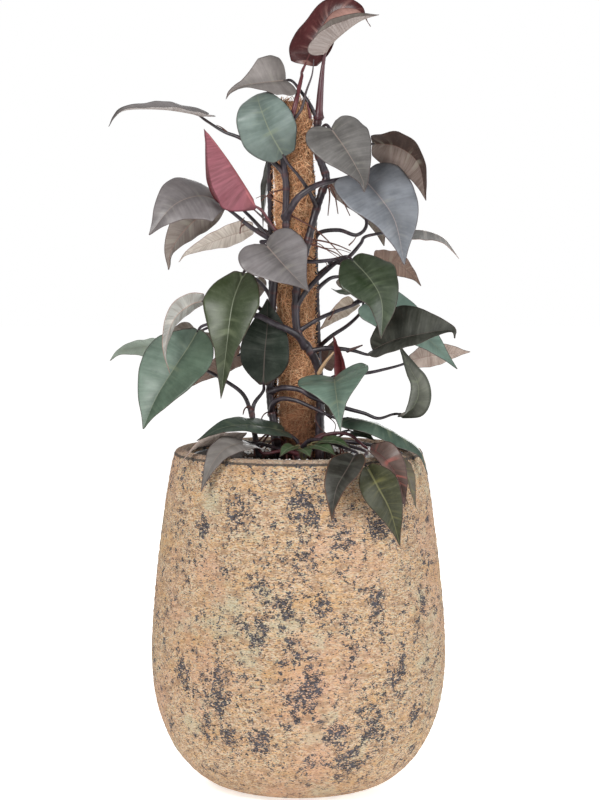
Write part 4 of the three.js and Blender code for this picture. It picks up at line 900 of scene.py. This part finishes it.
def makeLeafSkin():
    # the pattern of a leaf: midrib, fine side veins, margin, mottling and painted light and shade, as a
    # colour and a height
    group, given, result = newGroup("leafSkin", dict(Color="upper under rib edge streak tintPlus tintMinus",
                                                     Float="veinShow ribWidth edgeWidth tintFrom seed"),
                                    dict(Color="colour", Float="height rough"))

    def tinted(colour, tint):
        return blendColours(group, 1.0, colour, tint, "MULTIPLY")

    def ramp(value, low, high):
        return softStep(group, value, low, high)

    def mottled(place, scale, detail, rough):
        return noiseAt(group, place, leafLook[scale], detail, rough, given["seed"])

    place = objectPlace(group)
    row, rib, edge, side = (attribute(group, name) for name in ("veinRow", "ribGap", "edgeGap", "side"))
    under, away = ramp(side, 0.4, 0.6), calc(group, "ABSOLUTE", rib)
    # side veins run out from the midrib, so the pattern is drawn out along them
    along = weigh(group, (rib, leafLook["drawnOut"]))
    fan = addNode(group, "ShaderNodeCombineXYZ", {0: row, 1: along}).outputs[0]
    fine, broad = mottled(fan, "veinScale", 3, 0.6), mottled(fan, "broadScale", 2, 0.5)
    cloud, fleck = mottled(place, "cloudScale", 3, 0.6), mottled(place, "fleckScale", 3, 0.6)
    veined = total(group, (fine, 0.6), (broad, 0.4))
    shade = total(group, (veined, 0.45), (cloud, 0.55))
    pale = blendColours(group, 0.05, given["upper"], leafLook["pale"])
    face = blendColours(group, ramp(shade, 0.34, 0.66), tinted(given["upper"], leafLook["deep"]), pale)
    # painted shade along the midrib and at the base, and darker in a few clouds of random tone
    shadeAndCloud = total(group, (ramp(away, 13, 1), 0.35), (ramp(row, 0.32, 0), 0.4),
                   (ramp(mottled(place, "shadeCloudScale", 2, 0.5), 0.46, 0.68), 0.45))
    face = layered(group, face, (shadeAndCloud, tinted(face, leafLook["shadeAndCloud"])))
    back = layered(group, tinted(given["under"], leafLook["streaks"]),
                   (ramp(veined, 0.36, 0.62), given["under"]))
    # painted light and shade: one half of some leaves is tinted lighter or darker as the light falls on it,
    # on one of them only past its base
    pastBase = ramp(calc(group, "SUBTRACT", row, given["tintFrom"]), 0, 0.12)
    tint = layered(group, given["tintMinus"], ((ramp(rib, -1, 1), pastBase), given["tintPlus"]))
    skin = tinted(layered(group, face, (under, back)), tint)
    nearRib = weigh(group, (ramp(away, 18, 1), ramp(row, 0.95, 0.5)))
    brush = weigh(group, (ramp(broad, 0.5, 0.64), nearRib))
    thread = weigh(group, (ramp(fine, 0.6, 0.7), ramp(edge, 0.5, 6.0)))
    faint = weigh(group, (given["veinShow"], 0.6))
    narrow = weigh(group, (given["ribWidth"], calc(group, "SUBTRACT", 1.15, row)))
    ribMask = ramp(calc(group, "DIVIDE", away, calc(group, "MAXIMUM", narrow, 0.05)), 1.2, 0.6)
    margin = ramp(calc(group, "DIVIDE", edge, given["edgeWidth"]), 1.1, 0.3)
    skin = layered(group, skin, ((brush, given["veinShow"]), given["streak"]),
                   ((thread, faint), given["rib"]),
                   ((ramp(fleck, 0.52, 0.7), leafLook["fleckStrength"]), given["streak"]),
                   ((ribMask, leafLook["ribStrength"]), given["rib"]),
                   ((margin, leafLook["edgeStrength"]), given["edge"]))
    group.links.new(skin, result["colour"])
    group.links.new(total(group, (fine, 0.7), (fleck, 0.2)), result["height"])
    group.links.new(total(group, (under, 0.2), (cloud, 0.14)), result["rough"])
    return group


leafSkin = makeLeafSkin()

leafFinish = dict(
    base=dict(rib=(134, 120, 112), edge=(60, 42, 40), streak=(150, 148, 134), veinShow=0.18, ribWidth=0.9,
              edgeWidth=1.0, rough=0.3, gloss=0.3, tintPlus=(255, 255, 255), tintMinus=(255, 255, 255),
              tintFrom=-1.0),
    green=dict(rib=(112, 118, 98), streak=(120, 128, 100), veinShow=0.32),
    dark=dict(rib=(96, 86, 80), streak=(96, 100, 90), veinShow=0.25, rough=0.26, gloss=0.24),
    blue=dict(rib=(150, 136, 134), veinShow=0.2),
    tan=dict(rib=(128, 102, 92), veinShow=0.4),
    cream=dict(rib=(164, 134, 120), veinShow=0.5, edge=(132, 92, 78), streak=(206, 196, 184)),
    red=dict(rib=(96, 54, 54), edge=(46, 20, 24), streak=(120, 70, 66), veinShow=0.2, rough=0.24, gloss=0.26),
    pink=dict(rib=(168, 98, 100), edge=(90, 32, 42), streak=(170, 104, 106), rough=0.28),
    olive=dict(rib=(104, 102, 66), streak=(116, 112, 60), veinShow=0.55, ribWidth=1.4),
)
# leaves that differ from the rest of their tone
# the half tints lay painted light and shade on one half of a leaf
leafSpecial = dict(
    crown_red=dict(tintMinus=(110, 65, 73), tintFrom=0.32, streak=(158, 120, 112), veinShow=0.5),
    right_brown=dict(tintPlus=(142, 119, 110)),
    long_left=dict(edge=(38, 32, 30), edgeWidth=3.0),
    right_curled=dict(edge=(40, 44, 34), edgeWidth=3.5),
    young_pink=dict(edge=(70, 24, 32), edgeWidth=2.0),
    left_long_green=dict(tintMinus=(226, 230, 222)),
    left_low_green=dict(tintMinus=(206, 214, 202)),
    right_round_green=dict(streak=(96, 110, 78), gloss=0.4),
    right_big_dark=dict(gloss=0.13, rough=0.4),
    centre_dark=dict(gloss=0.14, rough=0.36),
    low_left_green=dict(gloss=0.14, rough=0.36),
    rim_olive=dict(gloss=0.2, veinShow=0.35),
    rim_dark=dict(gloss=0.2, edge=(90, 60, 44), edgeWidth=1.6),
    rim_red_fold=dict(streak=(178, 98, 88), veinShow=0.5, gloss=0.2),
)


def leafMaterial(name, tone, seed, **special):
    look = {**leafFinish["base"], **leafFinish.get(tone, {}), **special}
    rough, gloss = look.pop("rough"), look.pop("gloss")
    material, tree = newMaterial(name, gloss=gloss)
    skin = useGroup(tree, leafSkin, seed=float(seed), **look)
    return dress(material, skin["colour"], skin["height"], leafLook["bumps"], leafLook["bumpStrength"],
                 total(tree, skin["rough"], rough))


def makeLeaves():
    for i, leaf in enumerate(leaves):
        name, tone = leaf["name"], leaf["tone"]
        vertices, faces, marks = bladeMesh(leaf, blade["rows"], blade["phase"] * i)
        material = leafMaterial(name + "Skin", tone, i, upper=leaf["upper"], under=leaf["under"],
                                **leafSpecial.get(name, {}))
        makePiece("leaf_" + name + "_fine", vertices, faces, material, "leaf_" + tone, ["leaf_" + name],
                  marks)


makeLeaves()
print("leaves grown")


# Climbing stems, from the soil up, each with the stalks that carry its leaves, its free roots, its young
# leaves, and the fine things that hang from it: buds, spent sheaths and hair-thin roots. A strand has a
# route, the radius at its two ends, and how root-like, husk-like or blushed it is.

def stalk(leaf, route, radius=2.7, tuck=5):
    return dict(leaf=leaf, route=route, radius=radius, tuck=tuck)


def strand(route, size=(1.25, 0.6), root=1.0, **tones):
    return dict(route=route, size=size, tones=dict(root=root, **tones))


vines = {}
vines["vine_left"] = dict(
    radius=5, topRadius=4, hole=(-22, -20), route=[(-27, -20, 432), (-33, -14, 462), (-34, -11, 490),
        (-32.5, -13, 540), (-31, -15, 583), (-27, -21, 620), (-19, -28.5, 656), (-15, -29.5, 676),
        (-15, -29.5, 700), (-14.5, -29.5, 726), (-17, -29.5, 745), (-18, -29.5, 765), (-14, -29.5, 788),
        (-8, -28.5, 806)],
    stalks=[
        stalk("crown_red", [(-9, -28.5, 800), (-3, -27.5, 824), (1, -16, 842), (4, -2, 855)], radius=3.4,
            tuck=0),
        stalk("long_left", [(-15, -29, 738), (-34, -31, 757), (-66, -24, 780), (-88, -18, 789)],
            radius=3.2),
        stalk("young_pink", [(-16, -29, 662), (-30, -36, 676)]),
        stalk("left_big_grey", [(-19, -28, 656), (-36, -35, 664), (-58, -40, 678), (-74, -39, 691)],
            radius=3.4),
        stalk("left_taupe", [(-20, -27, 650), (-36, -24, 666), (-60, -16, 691)]),
        stalk("centre_heart", [(-19, -28, 655), (-34, -36, 659)]),
        stalk("right_big_blue", [(-15, -29, 688), (-9, -42, 699), (2, -51, 714), (23, -50, 727),
            (49, -38, 733)], radius=4.6),
        stalk("left_long_green", [(-25, -23, 625), (-42, -30, 634)]),
        stalk("right_curled", [(-33, -13, 480), (-18, -34, 486), (2, -41, 484), (16, -45, 476),
            (38, -47, 468), (58, -45, 462), (78, -38, 456), (95, -28, 449)], radius=3.6),
        stalk("rim_long_green", [(-33, -13, 452), (-31, -27, 465), (-21, -37, 473), (-4, -45, 472),
            (14, -51, 465), (32, -57, 457)], radius=3.2),
    ],
    roots=[
        strand([(-16, -30, 694), (20, -39, 674), (52, -38, 643)]),
        strand([(-15, -30, 722), (-32, -36, 717), (-44, -41, 708)]),
        strand([(-62, -40, 681), (-68, -42, 677), (-69, -42, 669)]),
        strand([(-9, -29, 799), (3, -32, 815), (9, -31, 836), (16, -31, 856), (18, -31, 874)], (2.2, 0.6),
            root=0.15),
    ],
    wisps=[
        strand([(14, -16, 806), (12, -18, 815), (10, -19, 824)], (2.0, 0.8), root=0, blush=1),
        strand([(-84, -19, 788), (-91, -22, 794), (-97, -24, 797)], (1.3, 0.4)),
        strand([(-22, -32, 666), (-38, -40, 684), (-54, -44, 699)], (2.5, 0.8), root=0.3),
        strand([(-17, -30, 704), (-26, -35, 708), (-40, -40, 714), (-50, -43, 711)], (0.7, 0.35)),
        strand([(-64, -42, 688), (-67, -44, 683), (-68, -44, 677)], (0.6, 0.35)),
        strand([(-34, -14, 456), (-40, -20, 454), (-44, -22, 448), (-40, -22, 443), (-34, -18, 444)],
            (0.9, 0.6)),
    ],
)
vines["vine_right"] = dict(
    radius=5.2, topRadius=4.6, hole=(25, -17), route=[(25, -16, 440), (26, -16, 470), (24, -18, 505),
        (14, -27, 529), (1, -30.5, 547), (-3, -30.5, 565), (-3, -30.5, 590), (0, -30.5, 620),
        (10, -28.5, 655), (19, -23, 690), (27, -14, 715), (33, -10, 733), (28, -10, 750), (22, -11, 768),
        (22, -10, 790), (24, -10, 812)],
    stalks=[
        stalk("crown_canoe", [(24, -10, 806), (26, -9, 836), (28, -6, 858)], radius=4.8),
        stalk("upper_left_grey", [(24, -10, 800), (13, -14, 822), (2, -6, 838)]),
        stalk("upper_round_green", [(22, -20, 697), (14, -38, 716), (1, -43, 736)], tuck=0),
        stalk("upper_right_heart", [(22, -10, 775), (26, -22, 790)]),
        stalk("right_brown", [(24, -10, 760), (42, -2, 772), (60, -4, 776)]),
        stalk("far_right_thin", [(-3, -30, 582), (14, -38, 607), (44, -24, 634), (60, -16, 641),
            (74, -6, 656), (80, 6, 664), (100, 12, 668)], radius=3.2),
        stalk("right_round_green", [(4, -30, 636), (20, -37, 636), (40, -34, 638)]),
        stalk("right_back_green", [(0, -30, 553), (24, -34, 568), (44, -24, 576), (64, -4, 582)]),
        stalk("right_big_dark", [(14, -27, 529), (32, -31, 533), (50, -28, 532), (66, -18, 529)],
            radius=3.2),
        stalk("front_triangle", [(25, -17, 488), (32, -34, 497)]),
        stalk("left_low_green", [(8, -29, 536), (-4, -43, 551), (-28, -53, 563), (-50, -51, 573),
            (-80, -46, 572), (-100, -40, 564)], radius=4.6),
    ],
    roots=[
        strand([(33, -12, 730), (37, -15, 716), (35, -16, 690)]),
        strand([(35, -12, 728), (43, -15, 714), (47, -16, 692)]),
        strand([(35, -12, 731), (50, -17, 712), (61, -20, 690)]),
        strand([(11, -29, 658), (26, -31, 653), (44, -30, 646), (52, -29, 640)]),
        strand([(12, -29, 662), (28, -26, 660), (46, -22, 655), (62, -18, 648)]),
    ],
    young=[
        dict(width=24, face=(0, -0.3, 0.95), fold=(5, 5), cup=0, lobe=0.2, rib=[(66, -8, 600),
            (50, -10, 598), (39, -12, 603)], stalk=[(36, -27, 635), (58, -20, 630), (74, -11, 616),
            (79, -8, 603)]),
        dict(width=26, face=(-0.2, -0.9, 0), fold=(60, 60), cup=-5, lobe=0.1, oval=0.5,
            rib=[(52, -37, 494), (50, -38, 520), (41, -39, 549)], stalk=[(26, -20, 488), (40, -31, 484)]),
    ],
    wisps=[
        strand([(58, -22, 529), (66, -23, 532), (76, -24, 536)], (2.4, 0.9), root=0.5),
        strand([(24, -20, 502), (32, -30, 516), (42, -32, 528)], (3.0, 1.2), root=0, husk=1),
        strand([(12, -29, 660), (24, -33, 657), (36, -34, 648), (48, -34, 640)], (0.7, 0.35)),
        strand([(13, -29, 656), (30, -30, 652), (48, -26, 650), (61, -22, 646)], (0.7, 0.35)),
        strand([(60, -24, 655), (65, -26, 660), (69, -27, 666)], (1.0, 0.4)),
        strand([(36, -34, 567), (40, -37, 573), (43, -38, 580)], (1.0, 0.4)),
        strand([(12, -29, 642), (20, -33, 638), (32, -36, 635), (34, -37, 630)], (0.8, 0.4)),
        strand([(25, -20, 462), (20, -30, 450), (26, -36, 438), (38, -34, 428)], (0.8, 0.4)),
        strand([(26, -19, 455), (34, -30, 452), (44, -36, 442), (40, -38, 428)], (0.8, 0.4)),
    ],
)
vines["vine_right_back"] = dict(
    radius=4.6, topRadius=3.6, hole=(28, 14), route=[(27, 14, 440), (25, 16, 490), (23, 18, 540),
        (21, 18, 600), (19, 18.5, 660), (17, 20, 720), (13, 21, 770)],
    stalks=[
        stalk("right_tan", [(25, 16, 485), (50, 10, 498), (82, 14, 500), (104, 20, 504)]),
        stalk("right_brown_low", [(20, 18, 615), (40, 21, 630), (60, 22, 636)]),
        stalk("centre_back_cream", [(23, 18, 530), (40, 9, 545), (60, 14, 558), (76, 23, 574)]),
        stalk("back_upper", [(19, 18, 650), (24, 6, 668), (48, 4, 672), (70, 10, 666), (82, 30, 680),
            (70, 48, 712)]),
        stalk("back_right_mid", [(21, 18, 600), (40, 27, 614)]),
        stalk("back_upper_right", [(14, 20, 760), (20, 24, 776)]),
        stalk("back_low", [(26, 15, 450), (21, 26, 466)]),
        stalk("back_rim", [(27, 14, 422), (16, 32, 432)]),
    ],
    young=[
        dict(width=24, face=(0.2, 0.8, 0.3), fold=(5, 5), cup=0, lobe=0.3, rib=[(30, 32, 505),
            (36, 34, 520), (44, 36, 540)], stalk=[(24, 16, 478)]),
    ],
)
vines["vine_left_back"] = dict(
    radius=4.6, topRadius=3.6, hole=(-28, 15), route=[(-29, 14, 440), (-30, 14, 520), (-32, 12, 600),
        (-33, 12, 680), (-34, 12, 740), (-34, 14, 785)],
    stalks=[
        stalk("left_cream", [(-33, 12, 652), (-37, 13, 668)]),
        stalk("left_back_tan", [(-30, 14, 500), (-42, 13, 518)]),
        stalk("left_curled_cream", [(-31, 13, 562), (-54, -6, 585), (-76, -32, 594), (-92, -42, 595)]),
        stalk("back_left_mid", [(-32, 12, 590), (-44, 30, 606)]),
        stalk("back_left_low", [(-30, 14, 528), (-60, 36, 550), (-95, 46, 556)]),
        stalk("back_top", [(-34, 14, 772), (-28, 24, 786)]),
        stalk("upper_dark_edge", [(-34, 13, 730), (-34, 24, 752)]),
    ],
)
vines["vine_left_low"] = dict(
    radius=4, topRadius=3.2, hole=(-46, -36), route=[(-52, -34, 430), (-56, -32, 460)],
    stalks=[
        stalk("left_thin_green", [(-55, -32, 452), (-66, -30, 478), (-90, -22, 495), (-113, -12, 507),
            (-128, -2, 518)]),
        stalk("centre_dark", [(-56, -32, 455), (-52, -30, 468)]),
    ],
    roots=[
        strand([(-55, -32, 462), (-63, -33, 462), (-66, -33, 454)]),
    ],
    wisps=[
        strand([(-56, -33, 463), (-61, -35, 464), (-65, -35, 460), (-66, -35, 455)], (0.6, 0.35)),
    ],
)
vines["vine_low"] = dict(
    radius=6, topRadius=4.5, hole=(0, -46), route=[(2, -47, 418)],
    stalks=[
        stalk("low_left_green", [(0, -46, 408), (-1, -44, 422)]),
        stalk("low_left_cream", [(0, -46, 406), (-20, -52, 413), (-40, -54, 420)]),
        stalk("low_left_grey", [(0, -48, 408), (-18, -56, 413)]),
        stalk("rim_dark", [(0, -46, 412), (14, -62, 426), (34, -90, 427), (54, -114, 422)]),
        stalk("rim_olive", [(4, -50, 412), (38, -70, 423), (62, -96, 422), (76, -122, 420),
            (79, -135, 418)]),
        stalk("rim_red_fold", [(4, -50, 412), (30, -56, 431), (58, -68, 434)]),
        stalk("rim_olive_strip", [(4, -50, 410), (50, -58, 424), (88, -74, 421), (103, -84, 418)]),
    ],
    roots=[
        strand([(24, -50, 424), (46, -46, 428), (56, -44, 434), (66, -46, 444)], (2.2, 0.6)),
    ],
    young=[
        dict(width=22, face=(0, -0.5, 0.85), fold=(5, 5), cup=0, lobe=0.2, rib=[(64, -62, 437),
            (78, -71, 434), (90, -76, 427)], stalk=[(2, -48, 414), (26, -50, 428), (42, -50, 431)]),
    ],
)
vines["basal_shoots"] = dict(
    radius=2.4, topRadius=1.8, hole=(6, -103), route=[(6, -103, 414)],
    young=[
        dict(width=20, face=(-0.2, -0.6, 0.8), fold=(10, 10), cup=0, lobe=0.1, rib=[(-5, -110, 424),
            (-14, -122, 421), (-22, -134, 414)], stalk=[(6, -103, 406), (1, -104, 418)]),
        dict(width=20, face=(0.1, -0.6, 0.8), fold=(10, 10), cup=0, lobe=0.1, rib=[(4, -112, 421),
            (9, -124, 419), (14, -137, 414)], stalk=[(6, -103, 404), (4, -104, 414)]),
        dict(width=24, face=(0.2, -0.6, 0.8), fold=(10, 10), cup=0, lobe=0.1, rib=[(18, -108, 425),
            (32, -122, 422), (44, -134, 415)], stalk=[(6, -103, 406), (12, -103, 419)]),
        dict(width=22, face=(0.1, -0.5, 0.85), fold=(10, 10), cup=0, lobe=0.1, rib=[(26, -100, 429),
            (44, -112, 430), (61, -126, 423)], stalk=[(6, -103, 408), (14, -98, 424)]),
    ],
)

limb = dict(
    stemSides=16, stalkSides=12, rootSides=8, step=2.2, foot=362.3, soilTop=398.3, knucklesFrom=60,
    knuckleGap=(22, 36), knuckleRoom=9, knuckle=0.16, knuckleReach=3.2, ringReach=1.3, waist=0.96,
    uneven=0.18, tipRadius=1.25, plump=0.5, flare=0.45, flareReach=11, neck=0.16, neckAt=9, neckReach=5,
    approach=10, underRib=0.6, intoRib=2.5, youngRadius=1.6, youngTip=0.8, youngRows=36, youngTuck=2,
    youngInto=3,
    stem=(32, 26, 30), sheen=(58, 51, 58), ring=(82, 42, 38), warm=(70, 44, 44), root=(92, 54, 44),
    rootDark=(64, 42, 36), husk=(150, 118, 86), huskPale=(196, 168, 134), blush=(92, 42, 46),
    green=(52, 70, 42), sprout=(116, 92, 64),
)
redStalks = dict(crown_red=0.8, crown_canoe=0.45, young_pink=0.8, low_left_grey=0.7, rim_red_fold=0.5)
youngLooks = dict(
    plain=dict(tone="green", upper=(70, 88, 68), under=(106, 84, 76)),
    basal_shoots=dict(tone="green", upper=(54, 78, 44), under=(110, 108, 72)),
    vine_right1=dict(tone="red", upper=(112, 44, 48), under=(124, 56, 58), veinShow=0.1),
)
arches = dict(vine="vine_low", count=14, seed=31, inner=25, outer=58, rise=(10, 30), size=(1.0, 1.6),
              front=(-2.9, -0.1), swing=0.8, ground=399)


def tube(path, radii, sides):
    # a round limb along a path, with rounded ends, its ring of corners carried along without twisting
    path = np.asarray(path, float)
    tangent = unit(np.gradient(path, axis=0))
    side = unit(np.cross(tangent[0], (0.3, 0.9, 0.2))[None])[0]
    turned = []
    for direction in tangent:
        side = side - direction * side.dot(direction)
        side /= np.linalg.norm(side)
        turned.append((side, np.cross(direction, side)))

    def roundEnd(i, way):
        out = tangent[i] * radii[i] * way
        return [(path[i] + out * 0.5, radii[i] * 0.72, *turned[i]), (path[i] + out * 0.75, 0.0, *turned[i])]

    rows = [(point, radius, *pair) for point, radius, pair in zip(path, radii, turned)]
    return ringSkin(roundEnd(0, -1)[::-1] + rows + roundEnd(-1, 1), sides)


def mergeLimbs(limbs):
    # joins the vertices, faces and marks of several limbs into one mesh
    names = sorted({name for vertices, faces, marks in limbs for name in marks})
    marks = {name: np.concatenate([own.get(name, np.zeros(len(vertices))) for vertices, faces, own in limbs])
             for name in names}
    faces, count = [], 0
    for vertices, own, _ in limbs:
        faces += [tuple(corner + count for corner in face) for face in own]
        count += len(vertices)
    return np.vstack([each[0] for each in limbs]), faces, marks


def makeLimb(route, radiusAt, sides, ring=None, **marks):
    curve = smoothCurve(route)
    distance = np.linspace(0, curve[1][-1], max(5, int(curve[1][-1] / limb["step"])) + 1)
    vertices, faces = tube(curveAt(curve, distance), radiusAt(distance, distance / distance[-1]), sides)
    values = {name: np.full(len(vertices), float(value)) for name, value in marks.items()}
    if ring:
        rows = ring(distance)  # one value for each ring of corners, the rounded ends as their neighbours
        values["ring"] = np.concatenate([rows[:1], np.repeat([rows[0], *rows, rows[-1]], sides), rows[-1:]])
    return vertices, outward(vertices, faces), values


def taper(first, last):
    return lambda distance, share: first + (last - first) * share


def makeStem(name, vine):
    buried = [(*vine["hole"], z) for z in (limb["foot"], limb["foot"] + 22, limb["soilTop"])]
    route = buried + vine["route"]
    dense, along = smoothCurve(route)
    # knuckles where stalks and roots leave the stem, and between them
    joints = [row["route"][0] for key in ("stalks", "roots") for row in vine.get(key, [])]
    joints += [row["stalk"][0] for row in vine.get("young", [])]
    spots = [along[np.argmin(np.linalg.norm(dense - np.array(joint), axis=1))] for joint in joints]
    maker = random.Random(name)
    place = float(limb["knucklesFrom"])
    while place < along[-1]:
        if all(abs(place - spot) > limb["knuckleRoom"] for spot in spots):
            spots.append(place)
        place += maker.uniform(*limb["knuckleGap"])

    def knuckles(distance, reach):
        return np.max([np.exp(-((distance - spot) / reach) ** 2) for spot in spots], axis=0)

    def radiusAt(distance, share):
        plain = vine["radius"] + (vine["topRadius"] - vine["radius"]) * share
        swollen = plain * (limb["waist"] + limb["knuckle"] * knuckles(distance, limb["knuckleReach"]))
        return swollen + limb["uneven"] * np.sin(distance * 0.9)

    def rings(distance):
        return knuckles(distance, limb["ringReach"])

    return makeLimb(route, radiusAt, limb["stemSides"], rings)


def makeStalk(leaf, row, tip, sides, tuck, into, **marks):
    # runs behind the base of its leaf and turns into the midrib
    origin, tangent, normal = (value[0] for value in ribPoints(leafFrame(leaf), np.array([0.0]))[:3])
    ends = [tuple(origin - tangent * limb["approach"] - normal * tuck),
            tuple(origin - normal * limb["underRib"] + tangent * into)]

    def radiusAt(distance, share):
        flare = 1 + limb["flare"] * np.clip(1 - distance / limb["flareReach"], 0, 1) ** 2
        fromNeck = (distance[-1] - distance - limb["neckAt"]) / limb["neckReach"]
        neck = 1 + limb["neck"] * np.exp(-fromNeck ** 2)
        thin = share + limb["plump"] * share * (share - 1)
        return (row["radius"] + (tip - row["radius"]) * thin) * flare * neck

    return makeLimb(row["route"] + ends, radiusAt, sides, **marks)


def makeStrand(row):
    return makeLimb(row["route"], taper(*row["size"]), limb["rootSides"], **row["tones"])


def makeArches():
    # old roots that arch from the stems' feet into the soil round the pole
    maker = random.Random(arches["seed"])
    made, ground = [], arches["ground"]
    for i in range(arches["count"]):
        turn = maker.uniform(*arches["front"])
        swing = turn + maker.uniform(-arches["swing"], arches["swing"])
        near = arches["inner"] + maker.uniform(0, 8)
        far = maker.uniform(arches["inner"] + 12, arches["outer"])
        rise = maker.uniform(*arches["rise"])
        first = (near * math.cos(turn), near * math.sin(turn))
        last = (far * math.cos(swing), far * math.sin(swing))
        middle = [(a + b) / 2 for a, b in zip(first, last)]
        route = [(*first, ground), (*first, ground + rise * 0.7), (*middle, ground + 2 + rise),
                 (*last, ground + rise * 0.5), (*last, ground - 2)]
        size = maker.uniform(*arches["size"])
        made.append(makeLimb(route, taper(size, size * 0.8), limb["rootSides"], root=1.0, blush=0.3))
    return made


def stemMaterial():
    material, tree = newMaterial("stemBark", gloss=0.4)
    place = objectPlace(tree)
    marks = {name: attribute(tree, name) for name in ("ring", "root", "husk", "blush", "fresh")}
    cloud = noiseAt(tree, stretched(tree, place, 0.25), 140, 4, 0.65, 3)
    warm = softStep(tree, noiseAt(tree, place, 60, 3, 0.6, 8), 0.52, 0.7)
    rootTone, huskTone, sprout = (blendColours(tree, cloud, limb[first], limb[second]) for first, second in (
        ("root", "rootDark"), ("husk", "huskPale"), ("green", "sprout")))
    colour = layered(tree, limb["stem"], (softStep(tree, cloud, 0.38, 0.66), limb["sheen"]),
                     ((marks["ring"], 0.75), limb["ring"]), ((warm, 0.4), limb["warm"]),
                     (marks["root"], rootTone), (marks["husk"], huskTone), (marks["blush"], limb["blush"]),
                     (marks["fresh"], sprout))
    streaks = total(tree, cloud, (marks["ring"], -0.8))
    return dress(material, colour, streaks, 0.5, 0.8, total(tree, (marks["root"], 0.35), 0.38))


def makeVines():
    bark = stemMaterial()
    named = {leaf["name"]: leaf for leaf in leaves}
    for name, vine in vines.items():
        young = vine.get("young", [])
        limbs = [makeStem(name, vine)]
        for row in vine.get("stalks", []):
            limbs.append(makeStalk(named[row["leaf"]], row, limb["tipRadius"], limb["stalkSides"],
                                   row["tuck"], limb["intoRib"], blush=redStalks.get(row["leaf"], 0.0)))
        limbs += [makeStrand(row) for row in vine.get("roots", [])]
        for row in young:
            shoot = dict(route=row["stalk"], radius=limb["youngRadius"])
            limbs.append(makeStalk(row, shoot, limb["youngTip"], limb["rootSides"], limb["youngTuck"],
                                   limb["youngInto"], fresh=1.0 if name == "basal_shoots" else 0.0))
        limbs += [makeStrand(row) for row in vine.get("wisps", [])]
        if name == arches["vine"]:
            limbs += makeArches()
        vertices, faces, marks = mergeLimbs(limbs)
        makePiece(name + "_fine", vertices, faces, bark, "stem", [name], marks)
        for i, row in enumerate(young):
            vertices, faces, marks = bladeMesh(row, limb["youngRows"], blade["youngPhase"] * i)
            look = youngLooks.get(name, youngLooks.get(name + str(i), youngLooks["plain"]))
            material = leafMaterial(name + "Young" + str(i), seed=60 + i, **{"veinShow": 0.2, **look})
            makePiece(name + "_young_" + str(i), vertices, faces, material, "stem", [name], marks)


makeVines()
print("stems and roots grown")
